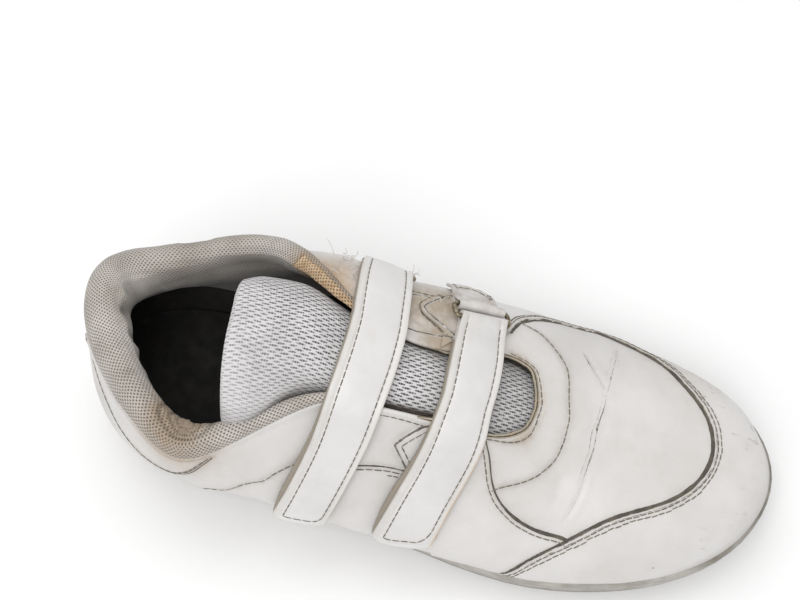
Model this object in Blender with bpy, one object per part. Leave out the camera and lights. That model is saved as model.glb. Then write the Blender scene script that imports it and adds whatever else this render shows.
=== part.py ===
"""A worn two-strap leather sneaker, the right shoe, as separate solid pieces.

The shoe stands on its sole. X runs from heel to toe, Y towards the inner (medial)
side and Z up. All tables are in millimetres with X = 0 at the heel; PLACE_X and
PLACE_Y then put the origin under the middle of the shoe, on the floor.
"""

import math

import bmesh
import bpy
import numpy as np
from mathutils import Vector
from mathutils.bvhtree import BVHTree

MM = 0.001
GAP = 0.3  # clearance between pieces that meet

# Driving dimensions of the shoe
LENGTH = 290.0
WALL = 2.0  # leather and lining of the upper
FOOT_INSET = 2.6  # the upper stands this far inside the sole's edge
INSOLE_THICK = 4.0
TONGUE_THICK = 5.0
COLLAR_FOOT = 4  # row of the upper, counted from the sole, that the padding reaches inside
STRAP_THICK = 2.6  # two layers of strap leather
TAB_THICK = 2.2
STRAP_LIFT = 1.6  # the strap rides this far above what it crosses
TAB_LIFT = 0.7
RING_LIFT = 0.7  # the folds round the ring
WIRE = 0.95  # radius of the ring wire
BORE = WIRE + GAP
PLACE_X = -145.3
PLACE_Y = 3.2

# The last, a row for each section on the way round from the heel, past the outer side
# and the toe. edge: the sole's outline. top: the upper's free edge at collar and throat.
# bulge, rise, reach and fall: how the side of the upper leaves the sole and meets the top.
LAST_COLUMNS = ("edge_x", "edge_y", "top_x", "top_y", "top_z", "bulge", "rise", "reach", "fall")
LAST = {
    "heel": (3, 4, 4.5, 5, 76, 7, 18, 2, 24),
    "heel_outer": (12, -17, 14.5, -16.5, 75, 11, 14, 3, 24),
    "quarter_outer": (37, -34, 35, -38.5, 72.5, 17, 13, 5, 20),
    "ankle_outer": (60, -38.4, 54.5, -48.6, 70.2, 18, 9, 5.5, 19),
    "waist_outer": (82, -40.5, 77, -38.6, 76, 22, 8, 10, 21),
    "shank_outer": (98, -42.5, 97, -27, 84.2, 26, 8, 16, 25),
    "rear_strap_outer": (128, -48.5, 121, -22, 85.2, 26, 8, 14, 26),
    "front_strap_outer": (157, -54.5, 147, -21, 76.4, 19, 9, 15, 23),
    "ball_outer": (188, -59.5, 168, -20, 67, 11, 11, 20, 18),
    "tread_outer": (222, -57.5, 180, -15, 62.5, 10, 13, 26, 16),
    "toe_outer": (258, -46.5, 184.5, -9, 60.5, 7, 15, 42, 14),
    "toe_corner_outer": (280.5, -27.5, 186, -4, 59.8, 6, 17, 55, 17),
    "toe": (289, -2, 186.5, 0, 59.5, 6, 18, 62, 18),
    "toe_corner_inner": (282, 19, 186, 5, 59.8, 6, 17, 56, 17),
    "toe_inner": (262.5, 36.5, 184.5, 11, 60.5, 5, 16, 44, 14),
    "tread_inner": (229, 50, 180, 15.5, 62.5, 5.5, 14, 28, 10),
    "ball_inner": (198, 53.5, 169, 16.5, 67, 9, 14, 24, 6),
    "front_strap_inner": (158, 45, 147, 9, 79, 17, 22, 38, 2),
    "rear_strap_inner": (126, 36, 123, 10.8, 88.2, 23, 30, 41, 0),
    "shank_inner": (98, 33, 103, 24.5, 91, 23.5, 25, 32, 4),
    "ankle_inner": (70, 35.5, 75, 45.5, 79, 18, 16, 5, 18),
    "quarter_inner": (40, 37, 34, 39, 73, 11, 12, 3, 20),
    "heel_inner": (12, 26, 7.5, 25, 76, 8, 14, 2, 24),
}
UPPER_AROUND = 84
UPPER_UP = 11

# Height of the sole's top along the shoe, and of its underside
SOLE_TOP_COLUMNS = ("x", "z")
SOLE_TOP = ((0, 27), (60, 25), (128, 20.5), (188, 16), (228, 17), (262, 21), (290, 26.5))
HEEL_BEVEL = 24.0
HEEL_LIFT = 2.2
ARCH_START = 92.0
ARCH_END = 160.0
ARCH_LIFT = 3.2
SPRING_START = 212.0
SPRING_LIFT = 11.5

# Rings of the sole's side wall: how far inside the edge, and share of the height there
SIDE = ((4.5, 0.0), (1.8, 0.09), (1.0, 0.24), (1.9, 0.28), (0.8, 0.33), (0.0, 0.62), (0.3, 0.9), (1.4, 1.0))
SOLE_STATIONS = 40
INSOLE_CLEARANCE = 1.2
INSOLE_RINGS = ((0.8, 0.0), (0.0, 0.35), (0.4, 1.0), (3.5, 1.0), (9.0, 0.85))  # inset, share

# Tread grooves across the sole
GROOVE_WIDTH = 3.0
GROOVE_DEPTH = 1.8
GROOVE_PITCH = 10.5
HEEL_GROOVES = (24.0, 6)
BALL_GROOVES = (166.0, 9)

# The tongue, a row for each section from its free end to where it is sewn in
TONGUE_COLUMNS = ("x", "crown_y", "crown_z", "outer_y", "outer_z", "inner_y", "inner_z")
TONGUE = (
    (67.5, -6, 108.5, -33, 85.5, 13, 104),
    (71, -5, 107.5, -34.5, 82, 18, 98),
    (80, -4, 104, -32, 84, 21, 94),
    (92, -2, 99.5, -21.5, 86.3, 20, 93),
    (106, -2, 94.5, -18.5, 82.5, 15, 89),
    (128, -5, 85.5, -22, 73, 13.5, 78),
    (148, -4, 77.5, -23, 66, 15, 71.5),
    (168, -3, 66.5, -24, 56, 18, 60.5),
    (186, -1, 56.5, -22, 50, 20, 52),
    (198, 0, 51.5, -18, 47, 18, 48),
)
TONGUE_ALONG = 26
TONGUE_ACROSS = 12
TONGUE_TURN = math.radians(72)  # half the arc that the tongue bends through from side to side

# The collar's padding at the heel, at the sides and at its front ends: thickness of the
# roll and how far it stands above the leather
COLLAR_HEEL = (17.0, 8.5)
COLLAR_SIDE = (10.0, 6.0)
COLLAR_FRONT = (3.8, 1.6)
HEEL_REACH = 34.0
# The roll thins out from this X over this length, on the outer and on the inner side
TAPER_OUTER = (66.0, 42.0)
TAPER_INNER = (90.0, 22.0)
ROLL_TURNS = (12, 45, 80, 115, 150)
PAD_ROWS = 5
PAD_MIN = 1.0

# Straps: X of the rear and the front edge over the tongue and at the ring, the angle of
# both corners at the ring on the inner side, the angle of the free end, and how far the
# free end lies behind the middle of the strap
STRAP_COLUMNS = ("edges", "ring", "ring_angles", "end_angle", "sweep")
STRAPS = {
    "rear": ((109.9, 130.9), (108.2, 127.8), (26.0, 24.0), 179.5, 21.0),
    "front": ((147.0, 171.0), (149.5, 167.5), (53.5, 42.5), 184.0, 18.5),
}
SWEEP_START = 0.31
RING_EASE = 0.6  # share of the strap over which it comes to the ring's width
SWEEP_POWER = 1.35
STRAP_ALONG = 32
ACROSS = (0.0, 0.08, 0.36, 0.64, 0.92, 1.0)
CORNER = 3.0  # degrees taken off the free end at its corners
TAB_LENGTH = 25.0
TAB_SWEEP = 5.0
TAB_ALONG = 7
FOLD_RADIUS = BORE + 1.2
FOLD_TURNS = (8.0, 38.0, 70.0)
FOLD_LENGTH = 9.0  # the strip is back to its own thickness this far from the fold
RING_DEPTH = 6.4  # between the ring's two bars
RING_OVERHANG = 2.1  # the ring reaches this far past the strap on each side
RING_CORNER = 2.2
AXIS_Y = -6.0  # centre that the straps are measured round
AXIS_Z = 36.0
HULL_ANGLES = (-45, 215, 209)  # degrees: first, last and how many
FAR = 120.0
NO_COVER = 20.0


def column(rows, names, name):
    """One named column of a table of rows."""
    return np.array([row[names.index(name)] for row in rows], float)


def closed_spline(knots, period, values):
    """Periodic cubic spline through values (rows by columns) at the knots."""
    count = len(knots)
    step = np.diff(np.append(knots, knots[0] + period))
    back = np.roll(step, 1)
    matrix = np.zeros((count, count))
    rows = np.arange(count)
    matrix[rows, rows] = 2 * (back + step)
    matrix[rows, (rows - 1) % count] += back
    matrix[rows, (rows + 1) % count] += step
    ahead = np.roll(values, -1, 0) - values
    behind = values - np.roll(values, 1, 0)
    bend = np.linalg.solve(matrix, 6 * (ahead / step[:, None] - behind / back[:, None]))

    def at(place):
        place = np.mod(np.asarray(place, float) - knots[0], period) + knots[0]
        i = np.clip(np.searchsorted(knots, place, side="right") - 1, 0, count - 1)
        j = (i + 1) % count
        h = step[i][..., None]
        b = ((place - knots[i])[..., None]) / h
        a = 1 - b
        curve = ((a**3 - a) * bend[i] + (b**3 - b) * bend[j]) * h**2 / 6
        return a * values[i] + b * values[j] + curve

    return at


def open_spline(knots, values):
    """Natural cubic spline through values (rows by columns) at the knots."""
    knots = np.asarray(knots, float)
    values = np.asarray(values, float)
    count = len(knots)
    step = np.diff(knots)
    matrix = np.eye(count)
    right = np.zeros_like(values)
    for i in range(1, count - 1):
        matrix[i, i - 1 : i + 2] = (step[i - 1], 2 * (step[i - 1] + step[i]), step[i])
        right[i] = 6 * (
            (values[i + 1] - values[i]) / step[i] - (values[i] - values[i - 1]) / step[i - 1]
        )
    bend = np.linalg.solve(matrix, right)

    def at(place):
        place = np.clip(np.asarray(place, float), knots[0], knots[-1])
        i = np.clip(np.searchsorted(knots, place, side="right") - 1, 0, count - 2)
        h = step[i][..., None]
        b = ((place - knots[i])[..., None]) / h
        a = 1 - b
        curve = ((a**3 - a) * bend[i] + (b**3 - b) * bend[i + 1]) * h**2 / 6
        return a * values[i] + b * values[i + 1] + curve

    return at


# --- the last: outline, sole heights and the side of the upper ---

LAST_ROWS = list(LAST.values())
EDGE = np.stack([column(LAST_ROWS, LAST_COLUMNS, n) for n in ("edge_x", "edge_y")], 1)
KNOTS = np.append(0, np.cumsum(np.linalg.norm(np.diff(EDGE, axis=0), axis=1)))
GIRTH = KNOTS[-1] + np.linalg.norm(EDGE[0] - EDGE[-1])
edge_at = closed_spline(KNOTS, GIRTH, EDGE)
sole_top_curve = open_spline(
    column(SOLE_TOP, SOLE_TOP_COLUMNS, "x"), column(SOLE_TOP, SOLE_TOP_COLUMNS, "z")[:, None]
)


def edge_normal(place):
    """Outward unit normal of the sole's outline."""
    ahead = edge_at(np.asarray(place) + 0.5) - edge_at(np.asarray(place) - 0.5)
    ahead /= np.linalg.norm(ahead, axis=-1, keepdims=True)
    return np.stack([ahead[..., 1], -ahead[..., 0]], -1)


def sole_top(x):
    return sole_top_curve(x)[..., 0]


def sole_bottom(x):
    """Underside: flat at heel and ball, raised at the arch, the heel's edge and the toe."""
    x = np.asarray(x, float)
    heel = HEEL_LIFT * np.clip(1 - x / HEEL_BEVEL, 0, 1) ** 2
    arch = np.clip((x - ARCH_START) / (ARCH_END - ARCH_START), 0, 1)
    toe = np.clip((x - SPRING_START) / (LENGTH - SPRING_START), 0, 1) ** 1.7
    return heel + ARCH_LIFT * np.sin(math.pi * arch) ** 0.8 + SPRING_LIFT * toe


def control_points():
    """The four Bezier points of each section of the upper, as rows of 12 numbers."""
    normal = edge_normal(KNOTS)
    foot = EDGE - FOOT_INSET * normal
    foot = np.column_stack([foot, sole_top(foot[:, 0]) + GAP])
    get = {n: column(LAST_ROWS, LAST_COLUMNS, n) for n in LAST_COLUMNS}
    top = np.stack([get["top_x"], get["top_y"], get["top_z"]], 1)
    low = foot.copy()
    low[:, :2] += normal * get["bulge"][:, None]
    low[:, 2] += get["rise"]
    way = low[:, :2] - top[:, :2]
    way /= np.linalg.norm(way, axis=1, keepdims=True)
    high = top.copy()
    high[:, :2] += way * get["reach"][:, None]
    high[:, 2] -= get["fall"]
    return np.hstack([foot, low, high, top])


section_at = closed_spline(KNOTS, GIRTH, control_points())


def last_point(place, up):
    """Point of the upper's outer face: place runs round the outline, up from 0 to 1."""
    points = section_at(place)
    up = np.asarray(up, float)[..., None]
    foot, low, high, top = (points[..., 3 * i : 3 * i + 3] for i in range(4))
    return (
        (1 - up) ** 3 * foot
        + 3 * (1 - up) ** 2 * up * low
        + 3 * (1 - up) * up**2 * high
        + up**3 * top
    )


def last_normal(place, up):
    """Outward unit normal of the upper's outer face."""
    place = np.asarray(place, float)
    up = np.clip(np.asarray(up, float), 0.002, 0.998)
    along = last_point(place + 0.4, up) - last_point(place - 0.4, up)
    rise = last_point(place, up + 0.002) - last_point(place, up - 0.002)
    normal = np.cross(along, rise)
    return normal / np.linalg.norm(normal, axis=-1, keepdims=True)


def offset_point(place, up, out):
    """Point at a distance outside the upper's outer face (negative is inside)."""
    return last_point(place, up) + last_normal(place, up) * np.asarray(out)[..., None]


def knot(name):
    """Place of a named section on the way round."""
    return KNOTS[list(LAST).index(name)]


# --- mesh helpers ---


def new_object(name, verts, faces, collection):
    mesh = bpy.data.meshes.new(name)
    placed = (np.asarray(verts, float) + (PLACE_X, PLACE_Y, 0)) * MM
    mesh.from_pydata(placed.tolist(), [], [tuple(int(i) for i in f) for f in faces])
    mesh.update()
    obj = bpy.data.objects.new(name, mesh)
    collection.objects.link(obj)
    face_out(mesh)
    return obj


def face_out(mesh):
    """Turns every face of a closed mesh outwards."""
    bm = bmesh.new()
    bm.from_mesh(mesh)
    bmesh.ops.recalc_face_normals(bm, faces=bm.faces)
    if bm.calc_volume(signed=True) < 0:
        bmesh.ops.reverse_faces(bm, faces=bm.faces)
    bm.to_mesh(mesh)
    bm.free()


def grid_faces(rows, cols, start=0, close_rows=False, close_cols=False):
    """Quads over a grid of rows by cols points, numbered row by row."""
    faces = []
    for i in range(rows if close_rows else rows - 1):
        for j in range(cols if close_cols else cols - 1):
            k = (i + 1) % rows
            m = (j + 1) % cols
            faces.append(tuple(start + n for n in (i * cols + j, i * cols + m, k * cols + m, k * cols + j)))
    return faces


def solid_between(name, front, back, collection):
    """Closed solid between two grids of the same size (rows by cols by 3)."""
    rows, cols = front.shape[:2]
    count = rows * cols
    faces = grid_faces(rows, cols)
    faces += [f[::-1] for f in grid_faces(rows, cols, count)]
    rim = [j for j in range(cols)]
    rim += [i * cols + cols - 1 for i in range(1, rows)]
    rim += [(rows - 1) * cols + j for j in range(cols - 2, -1, -1)]
    rim += [i * cols for i in range(rows - 2, 0, -1)]
    for a, b in zip(rim, rim[1:] + rim[:1]):
        faces.append((b, a, a + count, b + count))
    verts = np.vstack([front.reshape(-1, 3), back.reshape(-1, 3)])
    return new_object(name, verts, faces, collection)


def tube_of_sections(name, sections, collection, closed=False):
    """Closed solid through rings of points; the ends are capped unless it closes on itself."""
    rows, cols = sections.shape[:2]
    faces = grid_faces(rows, cols, close_rows=closed, close_cols=True)
    if not closed:
        faces.append(tuple(range(cols))[::-1])
        faces.append(tuple((rows - 1) * cols + j for j in range(cols)))
    return new_object(name, sections.reshape(-1, 3), faces, collection)


def smooth(obj, angle=40):
    obj.data.shade_smooth()
    obj.data.set_sharp_from_angle(angle=math.radians(angle))


def material(name, colour, roughness, metallic=0.0):
    mat = bpy.data.materials.new(name)
    mat.use_nodes = True
    shader = mat.node_tree.nodes["Principled BSDF"]
    shader.inputs["Base Color"].default_value = (*colour, 1)
    shader.inputs["Roughness"].default_value = roughness
    shader.inputs["Metallic"].default_value = metallic
    return mat


def give(obj, mat):
    obj.data.materials.clear()
    obj.data.materials.append(mat)


# --- sole and insole ---


def outline_pairs(inset):
    """Points of the outline moved inwards, paired across the shoe: outer and inner side."""
    share = (1 - np.cos(np.linspace(0, math.pi, SOLE_STATIONS + 2)[1:-1])) / 2
    fine = np.linspace(0, GIRTH, 4000, endpoint=False)
    points = edge_at(fine)
    heel = np.argmin(points[:, 0])
    fine = (fine + fine[heel]) % GIRTH
    points = edge_at(fine)
    toe = np.argmax(points[:, 0])
    x = points[0, 0] + share * (points[toe, 0] - points[0, 0])
    outer = np.interp(x, points[: toe + 1, 0], np.arange(toe + 1))
    inner = np.interp(x, points[toe:, 0][::-1], np.arange(toe, len(points))[::-1])
    ends = fine[[0, toe]]
    step = GIRTH / len(fine)
    places = [fine[0] + outer * step, fine[0] + inner * step]
    sides = [edge_at(p) - inset * edge_normal(p) for p in places]
    tips = edge_at(ends) - inset * edge_normal(ends)
    return tips[0], sides[0], sides[1], tips[1]


def outline_ring(inset):
    """The same points as one closed ring: heel tip, outer side, toe tip, inner side back."""
    heel, outer, inner, toe = outline_pairs(inset)
    return np.vstack([heel[None], outer, toe[None], inner[::-1]])


def ladder(first, flip):
    """Faces that fill a ring of outline_ring by pairing its two sides."""
    count = 2 * SOLE_STATIONS + 2
    toe = SOLE_STATIONS + 1
    faces = [(first, first + 1, first + count - 1)]
    for i in range(1, SOLE_STATIONS):
        faces.append((first + i, first + i + 1, first + count - i - 1, first + count - i))
    faces.append((first + toe - 1, first + toe, first + toe + 1))
    return [f[::-1] for f in faces] if flip else faces


def make_sole(collection, cutters):
    rings = []
    for inset, share in SIDE:
        ring = outline_ring(inset)
        low = sole_bottom(ring[:, 0])
        high = sole_top(ring[:, 0])
        rings.append(np.column_stack([ring, low + share * (high - low)]))
    rings = np.array(rings)
    count = rings.shape[1]
    faces = grid_faces(len(SIDE), count, close_cols=True)
    faces += ladder(0, True)
    faces += ladder((len(SIDE) - 1) * count, False)
    sole = new_object("sole", rings.reshape(-1, 3), faces, collection)
    cut_grooves(sole, cutters)
    smooth(sole, 50)
    return sole


def cut_grooves(sole, cutters):
    """Cross grooves that leave the main lugs of heel and ball."""
    bm = bmesh.new()
    for start, number in (HEEL_GROOVES, BALL_GROOVES):
        for i in range(number):
            x = start + i * GROOVE_PITCH
            z = float(sole_bottom(x)) + GROOVE_DEPTH / 2 - 3
            made = bmesh.ops.create_cube(bm, size=1)["verts"]
            for vert in made:
                vert.co.x = (vert.co.x * GROOVE_WIDTH + x + PLACE_X) * MM
                vert.co.y = vert.co.y * 140 * MM
                vert.co.z = (vert.co.z * (GROOVE_DEPTH + 6) + z) * MM
    mesh = bpy.data.meshes.new("tread_cutter")
    bm.to_mesh(mesh)
    bm.free()
    cutter = bpy.data.objects.new("tread_cutter", mesh)
    cutters.objects.link(cutter)
    hide_cutter(cutter)
    cut = sole.modifiers.new("tread", "BOOLEAN")
    cut.operation = "DIFFERENCE"
    cut.object = cutter


def hide_cutter(obj):
    obj.hide_render = True
    obj.display_type = "WIRE"


def make_insole(collection):
    """A flat footbed with a slightly raised rim, inside the foot of the upper."""
    inset = FOOT_INSET + WALL + INSOLE_CLEARANCE
    rings = []
    for extra, lift in INSOLE_RINGS:
        ring = outline_ring(inset + extra)
        z = sole_top(ring[:, 0]) + GAP + lift * INSOLE_THICK
        rings.append(np.column_stack([ring, z]))
    rings = np.array(rings)
    count = rings.shape[1]
    faces = grid_faces(len(rings), count, close_cols=True)
    faces += ladder(0, True)
    faces += ladder((len(rings) - 1) * count, False)
    insole = new_object("insole", rings.reshape(-1, 3), faces, collection)
    smooth(insole, 50)
    return insole


# --- upper, collar and tongue ---


def make_upper(collection):
    """The leather shell: outer and inner face joined at its foot and at its free edge."""
    place = np.linspace(0, GIRTH, UPPER_AROUND, endpoint=False)
    up = np.linspace(0, 1, UPPER_UP)
    around, height = np.meshgrid(place, up, indexing="ij")
    outer = last_point(around, height)
    inner = offset_point(around, height, np.full(around.shape, -WALL))
    inner[:, 0, 2] = outer[:, 0, 2]
    section = np.concatenate([outer, inner[:, ::-1]], axis=1)
    upper = tube_of_sections("upper", section, collection, closed=True)
    smooth(upper, 50)
    return upper


def collar_span():
    """Places of the collar's two front ends, running round the heel."""
    inner_end = knot("shank_inner") - 0.45 * (knot("shank_inner") - knot("rear_strap_inner"))
    outer_end = knot("shank_outer") + 0.55 * (knot("rear_strap_outer") - knot("shank_outer"))
    return inner_end, outer_end + GIRTH


def collar_places():
    """The upper's own stations between those ends, so that both have the same facets."""
    step = GIRTH / UPPER_AROUND
    start, end = collar_span()
    return np.arange(math.ceil(start / step), math.floor(end / step) + 1) * step


def collar_size(place):
    """Thickness of the roll and how far it stands above the leather."""
    x, y = last_point(place, 1.0)[..., 0], last_point(place, 1.0)[..., 1]
    heel = np.exp(-(((x - x.min()) / HEEL_REACH) ** 2))
    start = np.where(y > 0, TAPER_INNER[0], TAPER_OUTER[0])
    length = np.where(y > 0, TAPER_INNER[1], TAPER_OUTER[1])
    front = np.clip((x - start) / length, 0, 1)
    return tuple(
        side + heel * (back - side) - front * (side - ahead)
        for back, side, ahead in zip(COLLAR_HEEL, COLLAR_SIDE, COLLAR_FRONT)
    )


def collar_section(place):
    """Ring of points: up the outer side, over the roll, down inside and back up the wall."""
    thick, lift = collar_size(place)
    top = last_point(place, 1.0)
    ahead = last_point(place + 0.5, 1.0) - last_point(place - 0.5, 1.0)
    out = np.stack([ahead[..., 1], -ahead[..., 0], 0 * place], -1)
    out /= np.linalg.norm(out, axis=-1, keepdims=True)
    up = np.array([0, 0, 1.0])
    tip = top - last_point(place, 0.98)
    tip *= 2 * GAP / np.linalg.norm(tip, axis=-1, keepdims=True)
    points = []
    for turn in np.radians(ROLL_TURNS):
        side = (thick / 2 * (1 - np.cos(turn)))[..., None]
        rise = (lift * np.sin(turn))[..., None]
        points.append(top + tip - out * side + up * rise)
    low = COLLAR_FOOT / (UPPER_UP - 1)
    least = WALL + GAP + PAD_MIN
    for share in np.linspace(0, 1, PAD_ROWS):
        height = 1 - share * (1 - low)
        depth = least + (thick - least) * max(math.cos(share * math.pi / 2), 0) ** 0.8
        points.append(offset_point(place, np.full(place.shape, height), -depth))
    for row in range(COLLAR_FOOT, UPPER_UP):
        height = np.full(place.shape, row / (UPPER_UP - 1))
        points.append(offset_point(place, height, np.full(place.shape, -WALL - GAP)))
    points[-1] += tip
    return np.stack(points, 1)


def make_collar(collection):
    collar = tube_of_sections("collar", collar_section(collar_places()[::-1]), collection)
    smooth(collar, 60)
    return collar


tongue_curve = open_spline([row[0] for row in TONGUE], [row[1:] for row in TONGUE])


def tongue_surface(along, across):
    """Top face of the tongue: along from 0 (free end) to 1, across from -1 to 1 (inner side)."""
    x = TONGUE[0][0] + along * (TONGUE[-1][0] - TONGUE[0][0])
    get = dict(zip(TONGUE_COLUMNS[1:], np.moveaxis(tongue_curve(x), -1, 0)))
    side_y = np.where(across < 0, get["outer_y"], get["inner_y"])
    side_z = np.where(across < 0, get["outer_z"], get["inner_z"])
    turn = TONGUE_TURN * np.abs(across)
    out = np.sin(turn) / math.sin(TONGUE_TURN)
    down = (1 - np.cos(turn)) / (1 - math.cos(TONGUE_TURN))
    y = get["crown_y"] + (side_y - get["crown_y"]) * out
    z = get["crown_z"] + (side_z - get["crown_z"]) * down
    return np.stack([x + 0 * y, y, z], -1)


def make_tongue(collection):
    along = np.linspace(0, 1, TONGUE_ALONG)
    across = np.linspace(-1, 1, TONGUE_ACROSS)
    a, c = np.meshgrid(along, across, indexing="ij")
    top = tongue_surface(a, c)
    da = tongue_surface(a + 0.005, c) - tongue_surface(a - 0.005, c)
    dc = tongue_surface(a, np.clip(c + 0.01, -1, 1)) - tongue_surface(a, np.clip(c - 0.01, -1, 1))
    normal = np.cross(da, dc)
    normal /= np.linalg.norm(normal, axis=-1, keepdims=True)
    thick = TONGUE_THICK * np.clip(1.15 - 0.7 * np.abs(c) ** 3, 0.3, 1)
    bottom = top - normal * thick[..., None]
    tongue = solid_between("tongue", top, bottom, collection)
    smooth(tongue, 60)
    return tongue


# --- straps, rings and tabs ---


def cover_tree():
    """What the straps lie on: the outer face of the upper, the collar and the tongue."""
    place = np.linspace(0, GIRTH, 240, endpoint=False)
    up = np.linspace(0, 1, 28)
    around, height = np.meshgrid(place, up, indexing="ij")
    skin = last_point(around, height).reshape(-1, 3)
    faces = grid_faces(len(place), len(up), close_rows=True)
    a, c = np.meshgrid(np.linspace(0, 1, 50), np.linspace(-1, 1, 30), indexing="ij")
    tongue = tongue_surface(a, c).reshape(-1, 3)
    faces += grid_faces(50, 30, len(skin))
    roll = collar_section(collar_places())[:, :8]
    faces += grid_faces(*roll.shape[:2], len(skin) + len(tongue))
    return BVHTree.FromPolygons(np.vstack([skin, tongue, roll.reshape(-1, 3)]).tolist(), faces)


def cross_flat(a, b):
    return a[0] * b[1] - a[1] * b[0]


def taut_radius(tree, x, angle):
    """Distance from the axis, at this X and angle, of a band pulled tight over the cover."""
    centre = np.array([AXIS_Y, AXIS_Z])
    wide = np.radians(np.linspace(*HULL_ANGLES))
    ways = np.stack([np.cos(wide), np.sin(wide)], 1)
    hull = []
    for way in ways:
        start = centre + FAR * way
        hit = tree.ray_cast(Vector((x, *start)), Vector((0, *(-way))))[0]
        hull.append(np.linalg.norm(np.array(hit[1:]) - centre) if hit else NO_COVER)
    points = np.array(hull)[:, None] * ways
    keep = []
    for i, point in enumerate(points):
        while len(keep) > 1:
            before, last = points[keep[-2]], points[keep[-1]]
            if cross_flat(last - before, point - last) > 0:
                break
            keep.pop()
        keep.append(i)
    place = np.searchsorted(wide[keep], angle)
    a, b = points[keep[place - 1]], points[keep[place]]
    way = np.array([math.cos(angle), math.sin(angle)])
    return float(cross_flat(a, b - a) / cross_flat(way, b - a))


def cover_point(tree, x, angle):
    radius = taut_radius(tree, x, angle)
    return np.array([x, AXIS_Y + radius * math.cos(angle), AXIS_Z + radius * math.sin(angle)])


def grid_normals(grid):
    across = np.gradient(grid, axis=1)
    along = np.gradient(grid, axis=0)
    normal = np.cross(along, across)
    outward = np.sum(normal * (grid - (0, AXIS_Y, AXIS_Z)) * (0, 1, 1), -1, keepdims=True)
    return normal * np.sign(outward) / np.linalg.norm(normal, axis=-1, keepdims=True)


def folded_strip(name, grid, thick, lift, collection):
    """A strip over a grid whose first row is folded round a bar; returns it and the bar."""
    normal = grid_normals(grid)
    length = np.append(0, np.cumsum(np.linalg.norm(np.diff(grid[:, 2], axis=0), axis=1)))
    ease = (1 - np.clip(length / FOLD_LENGTH, 0, 1)) ** 2
    half = thick / 2 + ease * (FOLD_RADIUS - thick / 2)
    middle = lift + ease * (RING_LIFT - lift) + half
    first = grid[0] + normal[0] * middle[0]
    share = np.array(ACROSS)[:, None]
    bar = first[0] * (1 - share) + first[-1] * share
    out = normal[0].mean(0)
    away = grid[0].mean(0) - grid[1].mean(0)
    for other in (out, (bar[-1] - bar[0]) / np.linalg.norm(bar[-1] - bar[0])):
        away -= other * away.dot(other)
    away /= np.linalg.norm(away)
    over = []
    under = []
    for turn in np.radians(FOLD_TURNS):
        over.append(bar + FOLD_RADIUS * (away * math.cos(turn) + out * math.sin(turn)))
        under.append(bar + FOLD_RADIUS * (away * math.cos(turn) - out * math.sin(turn)))
    for i in range(1, len(grid)):
        over.append(grid[i] + normal[i] * (middle[i] + half[i]))
        under.append(grid[i] + normal[i] * (middle[i] - half[i]))
    strip = solid_between(name, np.array(over), np.array(under), collection)
    smooth(strip, 40)
    return strip, (bar[0], bar[-1], away, out)


def bore(obj, start, end, cutters):
    """Drills a hole along the bar through the fold."""
    middle = (start + end) / 2
    way = Vector(end - start)
    bpy.ops.mesh.primitive_cylinder_add(vertices=16, radius=BORE * MM, depth=(way.length + 12) * MM)
    drill = bpy.context.object
    drill.name = f"{obj.name}_drill"
    drill.location = (Vector(middle) + Vector((PLACE_X, PLACE_Y, 0))) * MM
    drill.rotation_euler = way.to_track_quat("Z", "Y").to_euler()
    for collection in list(drill.users_collection):
        collection.objects.unlink(drill)
    cutters.objects.link(drill)
    hide_cutter(drill)
    cut = obj.modifiers.new("bore", "BOOLEAN")
    cut.operation = "DIFFERENCE"
    cut.object = drill


def make_strap(name, tree, collection):
    """The strap from its ring, over the tongue, to its free end on the outer side."""
    spec = dict(zip(STRAP_COLUMNS, STRAPS[name]))
    share = np.linspace(0, 1, STRAP_ALONG)
    sweep = spec["sweep"] * np.clip((share - SWEEP_START) / (1 - SWEEP_START), 0, 1) ** SWEEP_POWER
    grid = np.zeros((STRAP_ALONG, len(ACROSS), 3))
    near_ring = np.clip(1 - share / RING_EASE, 0, 1) ** 2
    for j, part in enumerate(ACROSS):
        start = np.interp(part, (0, 1), spec["ring_angles"])
        end = spec["end_angle"] - CORNER * abs(2 * part - 1) ** 8
        angles = np.radians(start + share * (end - start))
        at_ring = np.interp(part, (0, 1), spec["ring"])
        x = np.interp(part, (0, 1), spec["edges"]) - sweep
        x += near_ring * (at_ring - np.interp(part, (0, 1), spec["edges"]))
        for i in range(STRAP_ALONG):
            grid[i, j] = cover_point(tree, x[i], angles[i])
    return folded_strip(f"{name}_strap", grid, STRAP_THICK, STRAP_LIFT, collection)


def make_tab(name, tree, bar, collection):
    """The leather tab that holds the ring on the inner side of the shoe."""
    start, end, away, out = bar
    share = np.linspace(0, 1, TAB_ALONG)
    grid = np.zeros((TAB_ALONG, len(ACROSS), 3))
    for j, part in enumerate(ACROSS):
        top = start + part * (end - start) + away * RING_DEPTH - out * (RING_LIFT + FOLD_RADIUS)
        angle = math.atan2(top[2] - AXIS_Z, top[1] - AXIS_Y)
        radius = taut_radius(tree, top[0], angle)
        length = TAB_LENGTH * (1 - 0.45 * part**2.4 - 0.12 * (1 - part) ** 12)
        for i, part_along in enumerate(share):
            x = top[0] - TAB_SWEEP * part_along * (1 - 0.25 * part)
            grid[i, j] = cover_point(tree, x, angle - part_along * length / radius)
    return folded_strip(f"{name}_ring_tab", grid, TAB_THICK, TAB_LIFT, collection)


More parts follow.
